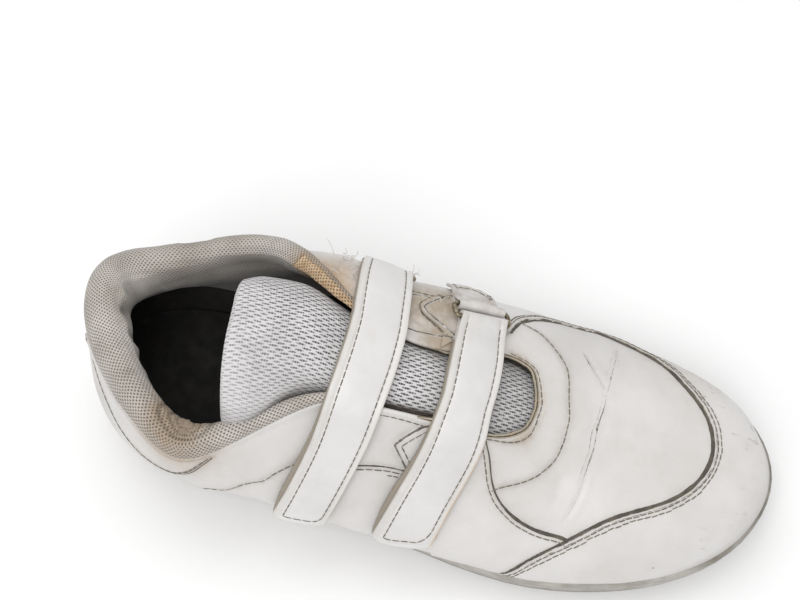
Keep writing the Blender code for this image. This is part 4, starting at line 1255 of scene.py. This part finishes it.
def make_collar(looks):
    """The padded mesh roll round the mouth, with its folds."""
    start, end = collar_span()
    places = np.linspace(end, start, round((end - start) / COLLAR_STEP))
    turns = np.linspace(8, 150, 26)
    section, tip = collar_section(places, turns, np.linspace(0, 1, 30))
    low = collar_low(places)
    wall = []
    for share in np.linspace(0, 1, 6):
        up = low + share * (1 - low)
        wall.append(offset_point(places, up, -WALL - GAP - pressed(last_point(places, up))))
    wall[-1] = wall[-1] + tip
    shown = section.shape[1]
    rest = last_point(places, 1.0)
    rim = length_along(rest)
    depth = length_along(section, 1)
    normal = unit(np.cross(np.gradient(section, axis=0), np.gradient(section, axis=1)))
    normal *= np.sign(np.sum(normal * (section - section.mean(1, keepdims=True)), -1).mean())
    soft = 0.35 * noise_at(section, 12.0, 11) + 0.12 * noise_at(section, 4.0, 12)
    ribs = RIB_HEIGHT * np.sin(depth * 2 * math.pi / RIB_PITCH) * held((depth - 2) / 3)
    turned = np.concatenate([turns, turns[-1] + 90 * np.linspace(0, 1, 30)])

    where, reach, inwards, down = TRODDEN
    here = bell((rest[:, 0] - where) / reach) * (rest[:, 1] < 0)
    pushed = here[:, None] * held((turned - 70) / 50) * held((255 - turned) / 70)
    level = pushed + 0.05 * noise_at(section, 7.0, 17)
    waves = (0.5 + 0.5 * np.cos(2 * math.pi * WAVE_COUNT * level)) ** 3 * held(level / 0.12)
    waves = waves * held((190 - turned) / 30) * held((0.93 - level) / 0.1)
    inner_way = unit((section[:, shown // 2] - section[:, 0]) * (1, 1, 0))
    section = section + pushed[..., None] * (inner_way[:, None] * inwards - (0, 0, down))
    to_end = rim[-1] / 2 - np.abs(rim - rim[-1] / 2)
    hold = held(depth / 3) * np.clip(to_end / 6, 0.15, 1)[:, None]
    soft_face = section + normal * ((soft + ribs) * hold)[..., None]
    out, fold = (values.reshape(depth.shape) for values in dented(soft_face.reshape(-1, 3), COLLAR_FOLDS))
    moved = soft_face + normal * (out - WAVE_DEPTH * waves)[..., None]
    # painted shade in the wrinkles round the trodden place
    fold = np.maximum(fold, 0.55 * waves)

    to_front = (rim[-1] - rim)[:, None] + 1.2 * noise_at(section, 2.0, 15)
    round_roll = turned + 10 * noise_at(section, 2.5, 16)
    worn = held(WORN_LENGTH - to_front) * held((round_roll - WORN_TURNS[0]) / 7)
    worn *= held((WORN_TURNS[1] - round_roll) / 15)
    shown_way = np.where((rest[:, 1] > 8) & (rest[:, 0] > 25), *OPEN_LENGTHS)[:, None]
    over = held(1.25 - depth / shown_way) * (1 - 0.8 * pushed)
    section = np.concatenate([moved, np.stack(wall, 1)], 1)
    points = section.reshape(-1, 3)
    stain, grime, _ = marks_at(points)
    drop = (rest[:, 2, None] - section[..., 2]).ravel()
    inner = (points[:, 1] > 8) & (points[:, 0] > 30)

    def widened(values):
        """Values over the roll, with none over the hidden wall."""
        return np.pad(values, ((0, 0), (0, section.shape[1] - shown))).ravel()

    fields = {
        "flat": xyz(widened(rim[:, None] + 0 * depth), widened(depth), 0),
        "worn": widened(worn),
        # fold: painted shade in the folds and wrinkles of the padding
        "holes": widened(over),
        "fold": widened(fold),
        "stain": stain + widened(0.4 * pushed),
        "grime": grime,
        # shade: painted shade, deeper further down inside the shoe
        "shade": held(np.where(inner, (drop - 7) / 17, (drop - 3) / 14)) ** 1.2,
    }
    collar = new_piece("collar_padding", points, tube(section), looks["mesh"], fields)
    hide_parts("collar")


def tongue_shadow(flat):
    """How dark the tongue is at each point: under the throat's edge and beside the collar."""
    x, y, _ = flat.T
    past_collar = 112
    throat = last_point(np.linspace(0, GIRTH, 700), 1.0) * (1, 1, 0)
    gap = field_of(throat[throat[:, 0] > past_collar], flat * (1, 1, 0))[0]
    outer = (y < -10) & (x < 162)
    hidden = np.where(outer, held((5.4 - gap) / 1.2), held(1.8 - gap)) * (x > past_collar)
    roll_tree = tree_of(collar_roll(200))
    touch = np.array([roll_tree.find_nearest(Vector(p))[3] for p in flat])
    close = bell(touch / np.where(y > 0, 1.3, 2.3)) * np.where(y > 0, 0.45, 0.85)
    return np.maximum(hidden, close * held((x - 74) / 12))


def make_tongue(looks):
    """The knitted padded tongue with a soft rounded rim."""
    rows, cols = 200, 110
    along, across = grid_of(np.linspace(0, 1, rows), np.linspace(-1.16, 1.25, cols))
    top = tongue_surface(along, across)
    da = tongue_surface(along + 0.005, across) - tongue_surface(along - 0.005, across)
    inner = np.clip(across, -1.14, 1.23)
    dc = tongue_surface(along, inner + 0.01) - tongue_surface(along, inner - 0.01)
    normal = unit(np.cross(da, dc))
    thick = TONGUE_THICK * np.clip(1.15 - 0.7 * np.abs(across) ** 3, 0.3, 1)
    u, v = length_along(top), length_along(top, 1)
    rim = np.minimum(u, np.minimum(v, v[:, -1:] - v))
    drop = rounding(rim, np.minimum(2.3, thick * 0.48))
    soft = 0.4 * noise_at(top, 16.0, 21) + 0.12 * noise_at(top, 5.0, 22)
    front = top + normal * (soft * held(rim / 5) - drop)[..., None]
    points, faces = shell(front, top - normal * (thick - drop * 0.9)[..., None])
    _, grime, _ = marks_at(points)
    coords = xyz(u, v - v[:, cols // 2 : cols // 2 + 1], 0).reshape(-1, 3)
    strong = np.clip(0.68 + 0.72 * (u / 60) + 0.35 * across, 0.55, 1.4)
    # the knit is made darker towards its sides and its lower end, carried in the grime field
    low = 0.45 * held((np.abs(across) - 0.8) / 0.3) + 0.3 * held((u - 70) / 20)
    fields = {
        "flat": np.vstack([coords, coords + (0, 0, 1)]),
        "holes": np.tile(strong.ravel(), 2),
        "grime": grime + np.tile(low.ravel(), 2),
        "shade": np.tile(tongue_shadow(top.reshape(-1, 3)), 2),
    }
    tongue = new_piece("tongue_padding", points, faces, looks["knit"], fields)
    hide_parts("tongue")


def outline_pairs(inset, stations):
    """Points of the outline moved inwards, paired across the shoe: outer and inner side."""
    share = (1 - np.cos(np.linspace(0, math.pi, stations + 2)[1:-1])) / 2
    fine = np.linspace(0, GIRTH, 4000, endpoint=False)
    fine = (fine + fine[np.argmin(edge_at(fine)[:, 0])]) % GIRTH
    round_x = edge_at(fine)[:, 0]
    toe = np.argmax(round_x)
    x = round_x[0] + share * (round_x[toe] - round_x[0])
    outer = np.interp(x, round_x[: toe + 1], np.arange(toe + 1))
    inner = np.interp(x, round_x[toe:][::-1], np.arange(toe, len(fine))[::-1])
    places = [fine[0] + steps * GIRTH / len(fine) for steps in (outer, inner)]
    return [edge_at(place) - inset * edge_normal(place) for place in places]


def make_insole(looks):
    """The worn footbed: dished at the heel and under the ball, with a turned-up rim."""
    outer, inner = outline_pairs(FOOT_INSET + WALL + 0.4, 150)
    side = np.sin(np.linspace(-math.pi / 2, math.pi / 2, 60))[:, None]
    flat = (outer[:, None] + inner[:, None]) / 2 + side * (inner - outer)[:, None] / 2
    x, y = np.moveaxis(flat, -1, 0)
    rim = held((np.abs(side[:, 0]) - 0.86) / 0.14) ** 2
    heel = 0.9 * np.exp(-(((x - 34) / 22) ** 2 + ((y - 1) / 16) ** 2))
    ball = 0.8 * np.exp(-(((x - 205) / 26) ** 2 + ((y - 2) / 26) ** 2))
    base = sole_top(x) + GAP
    top = base + INSOLE_THICK * (0.85 + 0.1 * rim) - heel - ball
    points, faces = shell(xyz(x, y, top), xyz(x, y, base))
    fields = {"flat": np.tile(xyz(x, y, 0).reshape(-1, 3), (2, 1))}
    insole = new_piece("insole_pad", points, faces, looks["insole"], fields)
    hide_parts("insole")


# --- fine tread under the sole ---

# Corners of a rib: how far along the shoe and how far below the sole
RIB_CORNERS = ((-1, 0.4), (-0.6, -0.9), (0.6, -0.9), (1, 0.4))


def make_tread(looks):
    """Raised ribs across the arch of the sole, joined as one piece."""
    ribs = Joined()
    points = edge_at(np.linspace(0, GIRTH, 800, endpoint=False))
    sides = [points[points[:, 1] * side > 0] for side in (-1, 1)]
    for x in np.arange(ARCH_START + 12, ARCH_END - 10, 4.0):
        low, high = (p[np.argmin(np.abs(p[:, 0] - x)), 1] for p in sides)
        z = sole_bottom(x)
        rings = []
        for share in np.linspace(0.08, 0.92, 12):
            y = low + share * (high - low)
            bow = 2.0 * math.sin(share * math.pi)
            rings.append([(x + bow + dx, y, z + dz) for dx, dz in RIB_CORNERS])
        ribs.add(np.array(rings))
    ribs.make("tread_ribs", looks["rubber"], "dirty_rubber")


# --- materials ---


class Look:
    """A material whose colour, gloss and bump are worked out by nodes."""

    def __init__(self, name, **fixed):
        self.material = bpy.data.materials.new(name)
        self.material.use_nodes = True
        self.tree = self.material.node_tree
        self.shader = self.tree.nodes["Principled BSDF"]
        for key, value in fixed.items():
            self.shader.inputs[key.replace("_", " ").title().replace("Ior", "IOR")].default_value = value
        self.place = self.tree.nodes.new("ShaderNodeTexCoord").outputs["Object"]
        self.height = None

    def put(self, socket, value):
        if isinstance(value, bpy.types.NodeSocket):
            self.tree.links.new(value, socket)
        elif socket.type == "RGBA":
            socket.default_value = (*value, 1)
        else:
            socket.default_value = value

    def node(self, kind, inputs, **settings):
        node = self.tree.nodes.new(kind)
        for key, value in settings.items():
            setattr(node, key, value)
        for key, value in inputs.items():
            self.put(node.inputs[key], value)
        return node

    def math(self, operation, *values, clamp=False):
        node = self.node("ShaderNodeMath", dict(enumerate(values)), operation=operation, use_clamp=clamp)
        return node.outputs[0]

    def field(self, name, part="Fac"):
        return self.node("ShaderNodeAttribute", {}, attribute_name=name).outputs[part]

    def times(self, *values, clamp=False):
        return self.math("MULTIPLY", *values, clamp=clamp)

    def plus(self, *values, clamp=False):
        return self.math("ADD", *values, clamp=clamp)

    def minus(self, *values):
        return self.math("SUBTRACT", *values)

    def noise(self, size, detail=2.0, rough=0.5, stretch=None):
        """Noise whose grains are about a size in millimetres."""
        vector = self.place
        if stretch:
            vector = self.node("ShaderNodeMapping", {"Vector": vector, "Scale": stretch}).outputs[0]
        made = self.node(
            "ShaderNodeTexNoise",
            {"Vector": vector, "Scale": 1000 / size, "Detail": detail, "Roughness": rough},
        )
        return made.outputs["Fac"]

    def cells(self, size, feature="F1"):
        """Distance to the middle of cells of about a size in millimetres."""
        inputs = {"Vector": self.place, "Scale": 1000 / size}
        return self.node("ShaderNodeTexVoronoi", inputs, feature=feature).outputs["Distance"]

    def ramp(self, value, low, high, start=0.0, end=1.0):
        """Smooth step of a value from low to high."""
        made = self.node(
            "ShaderNodeMapRange",
            {"Value": value, "From Min": low, "From Max": high, "To Min": start, "To Max": end},
            interpolation_type="SMOOTHSTEP",
        )
        return made.outputs["Result"]

    def mix(self, share, a, b):
        """Colour a turned to b by the share; the node's colours are its sockets 6 and 7."""
        return self.node("ShaderNodeMix", {0: share, 6: a, 7: b}, data_type="RGBA").outputs[2]

    def tint(self, colour, mask, amount, other):
        """The colour turned to another where the mask says."""
        return self.mix(self.times(mask, amount), colour, other)

    def blotched(self, name, size, detail, *limits):
        """A field of wear, broken up by noise."""
        patches = self.ramp(self.noise(size, detail, 0.7), *limits)
        return self.times(self.field(name), patches, clamp=True)

    def bump(self, value, distance, strength=1.0):
        """Adds a bump of a height in millimetres."""
        inputs = {"Height": value, "Distance": distance * MM, "Strength": strength}
        if self.height is not None:
            inputs["Normal"] = self.height
        self.height = self.node("ShaderNodeBump", inputs).outputs["Normal"]

    def done(self, colour, roughness):
        self.put(self.shader.inputs["Base Color"], colour)
        self.put(self.shader.inputs["Roughness"], roughness)
        if self.height is not None:
            self.put(self.shader.inputs["Normal"], self.height)
        return self.material


def white_leather(name, light, shade, grain=1.0, **fixed):
    """Coated white leather, grained, scuffed and soiled where its fields say."""
    look = Look(name, **fixed)
    tone = look.ramp(look.noise(38, 3, 0.6), 0.3, 0.7)
    fine = look.noise(0.9, 3, 0.6)
    colour = look.mix(tone, shade, light)
    colour = look.tint(colour, look.ramp(look.noise(7, 4, 0.7), 0.5, 0.75), 0.16, (0.5, 0.46, 0.41))
    grime = look.blotched("grime", 3.5, 5, 0.15, 0.75, 0.35, 1.15)
    colour = look.tint(colour, grime, 0.8, (0.30, 0.265, 0.21))
    stain = look.blotched("stain", 2.2, 4, 0.2, 0.75, 0.35, 1.1)
    colour = look.tint(colour, stain, 0.75, (0.50, 0.335, 0.19))
    colour = look.tint(colour, look.field("rim"), 0.22, (0.62, 0.58, 0.51))
    scratch = look.noise(14, 3, 0.7, stretch=(0.35, 4.5, 4.5))
    scratch = look.times(look.ramp(scratch, 0.6, 0.68), look.plus(look.field("scuff"), 0.06), clamp=True)
    colour = look.tint(colour, scratch, 0.55, (0.36, 0.32, 0.27))
    spots = look.cells(19)
    dots = look.times(look.ramp(spots, 0.03, 0.018), look.ramp(look.noise(31, 1), 0.5, 0.54))
    colour = look.tint(colour, dots, 0.85, (0.1, 0.085, 0.07))
    dirt = look.field("dirt")
    rough_dirt = look.plus(dirt, look.times(look.minus(look.noise(1.6, 4, 0.7), 0.5), 0.9))
    packed = look.times(look.ramp(rough_dirt, 0.25, 0.75), look.ramp(dirt, 0.0, 0.2))
    olive = look.mix(look.ramp(look.noise(4, 3), 0.35, 0.65), (0.035, 0.028, 0.016), (0.08, 0.065, 0.043))
    colour = look.tint(colour, packed, 0.95, olive)
    look.bump(look.noise(26, 3, 0.6), 0.5, 0.35)
    look.bump(look.noise(5, 4, 0.65, stretch=(1, 0.45, 1)), 0.35, 0.3)
    look.bump(look.cells(0.85, feature="SMOOTH_F1"), 0.12 * grain, 0.35)
    look.bump(fine, 0.09 * grain, 0.3)
    look.bump(scratch, -0.12, 0.5)
    worn = look.ramp(look.noise(9, 3), 0.3, 0.7, 0.40, 0.56)
    rough = look.plus(worn, look.times(look.plus(grime, packed), 0.3), clamp=True)
    return look.done(colour, rough)


def thread(name, dark, light):
    """Soiled twisted thread; the stitching's dark colour is partly soiling and partly painted shade in its
    holes.
    """
    look = Look(name, sheen_weight=0.1)
    shade = look.plus(look.times(look.field("shade"), 0.6), look.times(look.noise(1.2, 3), 0.5), clamp=True)
    colour = look.mix(shade, dark, light)
    look.bump(look.noise(0.35, 2, stretch=(1, 1, 3)), 0.08, 0.6)
    return look.done(colour, look.ramp(look.noise(1.0), 0.3, 0.7, 0.7, 0.9))


def parts_of(look, vector):
    return look.node("ShaderNodeSeparateXYZ", {0: vector}).outputs


def holes(look, u, v, pitch, size):
    """A grid of oval holes: 1 in a hole and 0 between, with every other row moved along."""
    row = look.math("FLOOR", look.math("DIVIDE", v, pitch[1]))
    odd = look.math("FRACT", look.times(row, 0.5))
    a = look.minus(look.math("FRACT", look.plus(look.math("DIVIDE", u, pitch[0]), odd)), 0.5)
    b = look.minus(look.math("FRACT", look.math("DIVIDE", v, pitch[1])), 0.5)
    a = look.times(a, pitch[0] / size[0])
    b = look.times(b, pitch[1] / size[1])
    away = look.math("SQRT", look.plus(look.times(a, a), look.times(b, b)))
    return look.ramp(away, 1.25, 0.65)


def jitter(look, value, size, amount):
    """A coordinate made uneven, so that rows of holes don't run straight."""
    return look.plus(value, look.times(look.minus(look.noise(size, 2), 0.5), amount))


def mesh_fabric():
    """Open spacer mesh of the collar, darker and browner where it is worn, with painted shade in its folds
    and deep inside the shoe.
    """
    look = Look("collar_mesh_fabric", sheen_weight=0.15)
    u, v, _ = parts_of(look, look.field("flat", "Vector"))
    open_holes = look.field("holes")
    uu, vv = jitter(look, u, 5, 0.7), jitter(look, v, 5, 0.5)
    dot = holes(look, uu, vv, (1.75, 0.88), (0.42, 0.3))
    worn = look.field("worn")
    dot = look.times(dot, look.ramp(open_holes, 0.1, 0.75))
    rib = look.times(look.math("COSINE", look.times(vv, 2 * math.pi / 0.88)), 0.5)
    ribbed = look.times(look.plus(rib, 0.5), look.ramp(open_holes, 0.85, 0.1, 0.25, 0.9))
    tone = look.ramp(look.noise(16, 3), 0.3, 0.7)
    colour = look.mix(tone, (0.42, 0.38, 0.34), (0.57, 0.53, 0.495))
    colour = look.tint(colour, ribbed, 0.4, (0.22, 0.19, 0.15))
    yarn = look.noise(0.5, 3, 0.7)
    colour = look.mix(look.ramp(yarn, 0.35, 0.7, 0.0, 0.3), colour, (0.68, 0.66, 0.62))
    stain = look.blotched("stain", 4, 4, 0.25, 0.7, 0.55, 1.1)
    colour = look.tint(colour, stain, 0.8, (0.37, 0.265, 0.17))
    grime = look.blotched("grime", 2.4, 4, 0.25, 0.7)
    colour = look.tint(colour, grime, 0.65, (0.16, 0.14, 0.11))
    tan = look.mix(look.ramp(look.noise(3.0, 4, 0.7), 0.3, 0.7), (0.42, 0.25, 0.12), (0.62, 0.46, 0.29))
    colour = look.tint(colour, look.ramp(worn, 0.2, 0.6), 0.92, tan)
    brink = look.times(look.ramp(worn, 0.05, 0.35), look.ramp(worn, 0.85, 0.5))
    colour = look.tint(colour, brink, 0.7, (0.25, 0.14, 0.06))
    colour = look.tint(colour, dot, 0.85, (0.12, 0.1, 0.075))
    # painted shade: darker in the folds and further down inside the shoe
    deep = look.plus(look.times(look.field("fold"), 0.9), look.times(look.field("shade"), 0.85), clamp=True)
    colour = look.mix(deep, colour, (0.03, 0.023, 0.015))
    look.bump(dot, -0.5, 0.8)
    look.bump(ribbed, 0.2, 0.6)
    look.bump(yarn, 0.15, 0.6)
    look.bump(look.noise(6, 3), 0.5, 0.4)
    return look.done(colour, look.ramp(look.noise(3), 0.3, 0.7, 0.85, 0.97))


def knit_fabric():
    """Light grey knit of the tongue: rows of long dark slots between rows of fine dots."""
    look = Look("tongue_knit", sheen_weight=0.2)
    u, v, _ = parts_of(look, look.field("flat", "Vector"))
    uu, vv = jitter(look, u, 6, 1.4), jitter(look, v, 8, 0.8)
    slot = holes(look, uu, vv, (5.2, 1.14), (1.75, 0.34))
    beads = look.math("COSINE", look.times(uu, 2 * math.pi / 1.05))
    slot = look.times(slot, look.ramp(beads, -0.95, 0.1, 0.4, 1.0))
    slot = look.times(slot, look.ramp(look.noise(1.6, 2), 0.25, 0.55, 0.5, 1.0))
    strong = look.field("holes")
    dark = look.times(slot, strong, clamp=True)
    tone = look.ramp(look.noise(14, 3), 0.3, 0.7)
    colour = look.mix(tone, (0.47, 0.455, 0.455), (0.62, 0.605, 0.605))
    yarn = look.noise(0.45, 3, 0.7)
    colour = look.mix(look.ramp(yarn, 0.3, 0.7, 0.0, 0.35), colour, (0.78, 0.78, 0.78))
    grime = look.blotched("grime", 5, 4, 0.25, 0.7, 0.5, 1.1)
    colour = look.tint(colour, grime, 0.7, (0.11, 0.10, 0.085))
    colour = look.mix(dark, colour, (0.045, 0.042, 0.045))
    # painted shadow under the throat's edge and beside the collar's roll
    colour = look.mix(look.times(look.field("shade"), 0.93, clamp=True), colour, (0.045, 0.03, 0.016))
    look.bump(dark, -0.45, 0.8)
    look.bump(yarn, 0.14, 0.6)
    look.bump(look.noise(7, 3), 0.5, 0.4)
    return look.done(colour, look.ramp(look.noise(3), 0.3, 0.7, 0.8, 0.95))


def dark_cloth(name, colour, light):
    look = Look(name)
    weave = look.times(look.cells(0.9), 0.8)
    shade = look.mix(look.ramp(look.noise(9, 4), 0.35, 0.7), colour, light)
    shade = look.mix(look.times(weave, 0.5, clamp=True), shade, colour)
    look.bump(weave, 0.2, 0.6)
    look.bump(look.noise(12, 3), 0.5, 0.4)
    return look.done(shade, look.ramp(look.noise(5), 0.3, 0.7, 0.85, 0.98))


def rubber():
    """Pale rubber gone grey-brown, darker towards the bottom and dirty in its lines."""
    look = Look("dirty_rubber_sole", specular_ior_level=0.35)
    x, y, z = parts_of(look, look.place)
    tone = look.ramp(look.noise(22, 4, 0.65), 0.3, 0.7)
    colour = look.mix(tone, (0.22, 0.20, 0.17), (0.40, 0.38, 0.345))
    streak = look.ramp(look.noise(9, 5, 0.7, stretch=(0.4, 0.4, 3)), 0.42, 0.7)
    toe = look.times(look.ramp(x, 0.108, 0.126), look.ramp(y, -0.052, -0.03))
    colour = look.mix(look.minus(1, toe), colour, look.mix(tone, (0.34, 0.32, 0.29), (0.52, 0.50, 0.465)))
    colour = look.tint(colour, streak, look.plus(look.times(toe, 0.45), 0.3), (0.13, 0.115, 0.09))
    # darker towards the bottom
    low = look.ramp(z, 0.013, 0.003)
    colour = look.tint(colour, low, 0.5, (0.13, 0.115, 0.095))
    speck = look.ramp(look.noise(1.5, 4, 0.8), 0.6, 0.72)
    colour = look.tint(colour, speck, 0.6, (0.09, 0.08, 0.065))
    look.bump(look.noise(0.9, 3), 0.15, 0.5)
    look.bump(look.noise(6, 4), 0.3, 0.4)
    look.bump(streak, -0.1, 0.4)
    return look.done(colour, look.ramp(look.noise(6), 0.3, 0.7, 0.6, 0.85))


def old_steel():
    look = Look("tarnished_ring_steel", metallic=1.0)
    patch = look.ramp(look.noise(2.2, 4, 0.7), 0.4, 0.62)
    colour = look.mix(patch, (0.42, 0.37, 0.28), (0.16, 0.125, 0.08))
    look.bump(look.noise(0.5, 3), 0.06, 0.5)
    look.bump(look.noise(2.5, 3), 0.12, 0.4)
    return look.done(colour, look.ramp(patch, 0, 1, 0.32, 0.6))


def make_looks():
    white, grey = (0.69, 0.672, 0.66), (0.61, 0.59, 0.57)
    return {
        "leather": white_leather("white_coated_leather", white, grey, coat_weight=0.06, coat_roughness=0.35),
        "strap": white_leather(
            "strap_coated_leather", (0.72, 0.706, 0.70), (0.655, 0.64, 0.63), 0.6, coat_weight=0.12,
            coat_roughness=0.3,
        ),
        # dark backing colours: partly the under layer's own, partly painted shadow under the strap's edge
        "backing": white_leather("strap_backing", (0.38, 0.33, 0.28), (0.24, 0.20, 0.165)),
        "binding": white_leather("throat_binding", (0.52, 0.48, 0.41), (0.33, 0.29, 0.22)),
        # near-black lining and insole: partly their own dark cloth, partly painted shade inside the shoe
        "lining": dark_cloth("dark_lining_in_painted_shade", (0.005, 0.0045, 0.003), (0.013, 0.011, 0.008)),
        "insole": dark_cloth("worn_insole_in_painted_shade", (0.003, 0.0027, 0.002), (0.009, 0.008, 0.005)),
        # stitching thread: dark partly from soiling, partly painted shade in the stitch holes
        "thread": thread("soiled_thread_painted_shade", (0.07, 0.058, 0.042), (0.25, 0.22, 0.17)),
        "fray": thread("frayed_thread", (0.30, 0.20, 0.13), (0.75, 0.73, 0.69)),
        "mesh": mesh_fabric(),
        "knit": knit_fabric(),
        "rubber": rubber(),
        "steel": old_steel(),
    }


# --- floor, light and camera ---

CAMERA_PLACE = (146.3, -188.1, 519.8)
CAMERA_AZIMUTH, CAMERA_ELEVATION, CAMERA_ROLL = (math.radians(a) for a in (5.39, 63.9, 3.7))
CAMERA_LENS = 56.25


def make_floor():
    mesh = bpy.data.meshes.new("floor")
    size = 3.0
    corners = [(-size, -size, 0), (size, -size, 0), (size, size, 0), (-size, size, 0)]
    mesh.from_pydata(corners, [], [(0, 1, 2, 3)])
    floor = bpy.data.objects.new("floor", mesh)
    look = Look("pale_floor")
    tone = look.ramp(look.noise(300, 2), 0.3, 0.7)
    colour = look.mix(tone, (0.90, 0.90, 0.90), (0.93, 0.93, 0.93))
    mesh.materials.append(look.done(colour, look.ramp(look.noise(60), 0.3, 0.7, 0.85, 0.9)))
    bpy.context.scene.collection.objects.link(floor)


def make_light():
    world = bpy.data.worlds.new("studio")
    world.use_nodes = True
    back = world.node_tree.nodes["Background"]
    back.inputs["Color"].default_value = (1.0, 1.0, 1.0, 1)
    back.inputs["Strength"].default_value = 0.56
    bpy.context.scene.world = world
    for name, place, size, energy in (
        ("key", (-0.15, -0.75, 1.15), 0.9, 8.5), ("side", (-0.25, 0.35, 1.1), 0.8, 4.0),
        ("fill", (0.9, 0.5, 0.9), 1.0, 1.5),
    ):
        light = bpy.data.lights.new(name, "AREA")
        light.size = size
        light.energy = energy
        obj = bpy.data.objects.new(name, light)
        obj.location = place
        obj.rotation_euler = Vector(place).to_track_quat("Z", "Y").to_euler()
        bpy.context.scene.collection.objects.link(obj)
    bpy.context.scene.view_settings.view_transform = "Standard"


def make_camera():
    a, e, r = CAMERA_AZIMUTH, CAMERA_ELEVATION, CAMERA_ROLL
    back = Vector((math.sin(a) * math.cos(e), -math.cos(a) * math.cos(e), math.sin(e)))
    right = (-back).cross(Vector((0, 0, 1))).normalized()
    up = right.cross(-back)
    x = math.cos(r) * right + math.sin(r) * up
    y = math.cos(r) * up - math.sin(r) * right
    data = bpy.data.cameras.new("camera")
    data.lens = CAMERA_LENS
    camera = bpy.data.objects.new("camera", data)
    bpy.context.scene.collection.objects.link(camera)
    place = (Vector(CAMERA_PLACE) + Vector(PLACE)) * MM
    camera.matrix_world = Matrix(((*x, 0), (*y, 0), (*back, 0), (*place, 1))).transposed()
    bpy.context.scene.camera = camera


# --- the shoe put together ---


def make_leather(looks, draw):
    """Upper, panels over it, and the dirt and stitches in their seams."""
    leather = looks["leather"]
    toe, outer, inner = trace(TOE_EDGE), trace(OUTER_EDGE), trace(INNER_EDGE)
    heel, heel_inner = trace(HEEL_EDGE), trace(HEEL_EDGE_INNER)[::-1]
    chevrons = ruled(CHEVRON_OUTER), ruled(CHEVRON_INNER)

    def past_toe(line):
        """How far in millimetres each point lies on the toe guard's side of its edge."""
        return (np.interp(line[:, 0], *toe.T, left=-1, right=-1) - line[:, 1]) * 60

    def down(place, line):
        return xyz(place, np.linspace(1, 0, len(line)))

    def level(line, up):
        return xyz(line[:, 0], up)

    outer_back = down(knot("front_strap_outer") - 2, outer)
    inner_back = down(knot("front_strap_inner") + 4, inner)
    tops = [
        make_skin((leather, looks["lining"])),
        panel("quarter_outer", outer, outer_back, 0.9, -1, leather, under=past_toe),
        panel("quarter_inner", inner, inner_back, 0.9, 1, leather, under=past_toe),
        panel("toe_guard", toe, level(toe, 0.0), 1.1, -1, leather, 40),
        panel("heel_band_outer", heel, level(heel, 0.995), 0.8, 1, leather, 20),
        panel("heel_band_inner", heel_inner, level(heel_inner, 0.995), 0.8, 1, leather, 20),
    ]
    for name, edge, side in zip(("outer", "inner"), chevrons, (1, -1)):
        back = edge[:1] + np.linspace(0, 1, len(edge))[:, None] * (edge[-1:] - edge[:1])
        tops.append(panel(f"chevron_{name}", edge, back, 0.7, side, leather, 10, 1.6))
    tree = tree_of(*tops)

    grime, glue, rows = Joined(), Joined(), Joined()
    outer = outer[past_toe(outer) < 0.4]
    inner = inner[past_toe(inner) < 0.4]
    outer_half = np.interp(np.linspace(0, 1, len(outer)), (0.3, 0.75), (0.42, 0.85))
    for line, offset, half, dark in (
        (toe, 0.35, 0.85, 1.3), (outer, 0.28, outer_half, 1.25),
        (inner, -0.4, 0.8, 1.25), (inner, 2.6, 0.4, 0.8), (toe, -1.1, 0.28, 0.6),
        (heel, -0.4, 0.6, 1.0), (heel_inner, -0.4, 0.6, 1.0), (heel, 1.1, 0.3, 0.8),
        (trace(STEP_SEAM), 0.0, 0.4, 1.0), (trace(EYESTAY_INNER), 0.0, 0.45, 0.8),
        (trace(MEDIAL_BAND), -1.0, 0.3, 0.7), (chevrons[0], -0.3, 0.6, 0.8), (chevrons[1], 0.3, 0.6, 0.75),
    ):
        dirt_line(grime, upper_face.beside(line, offset), tree, half, dark, taper=0.008)
    for line, offset, wave in (
        (toe, -1.7, 0.12), (toe, -3.3, 0.3), (outer, -1.7, 0.1), (inner, 1.7, 0.1),
        (heel, 1.7, 0.1), (heel_inner, 1.7, 0.1), (trace(FACING), 0.0, 0.08), (trace(THROAT), 0.0, 0.1),
        (trace(STEP_SEAM), -1.7, 0.1), (trace(EYESTAY_OUTER), 0.0, 0.05), (trace(MEDIAL_BAND), 0.6, 0.1),
        (trace(STEP_SEAM_LOW), 0.0, 0.2), (trace(WAVY_SEAM), 0.0, 0.25),
        (chevrons[0], 2.0, 0.1), (chevrons[1], -2.0, 0.1),
    ):
        moved = upper_face.even(upper_face.beside(line, offset), 0.8, 4)
        moved[:, 1] = np.clip(moved[:, 1], 0.005, 0.995)
        stitches(rows, upper_face, moved, tree, draw, wave)
    for knots, half, dark in CRACKS:
        dirt_line(grime, trace(knots), tree, half, dark, 0.9, 0.25)
    for knots, half, amount in STAINED:
        dirt_line(glue, trace(knots), tree, half, amount, 0.5, 0.2, "stain")
    glue.make("glue_marks", leather, "white_leather")
    grime.make("seam_dirt", leather, "white_leather")
    return rows


draw = random.Random(7)
looks = make_looks()
make_floor()
make_light()
make_camera()
threads = make_leather(looks, draw)
cover = Cover(84, 176)
for number, name in enumerate(STRAPS):
    strap = make_strap(name, cover, looks, 31 + 7 * number, threads, draw)
    tab = make_tab(name, strap.bar, cover, looks, 51 + 7 * number, threads, draw)
    make_ring(name, strap.bar, tab.bar, looks["steel"])
threads.make("stitching", looks["thread"], "white_leather")
make_bead(looks)
make_hairs(looks, draw)
make_collar(looks)
make_tongue(looks)
make_insole(looks)
make_tread(looks)
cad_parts["sole"].data.materials.clear()
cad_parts["sole"].data.materials.append(looks["rubber"])
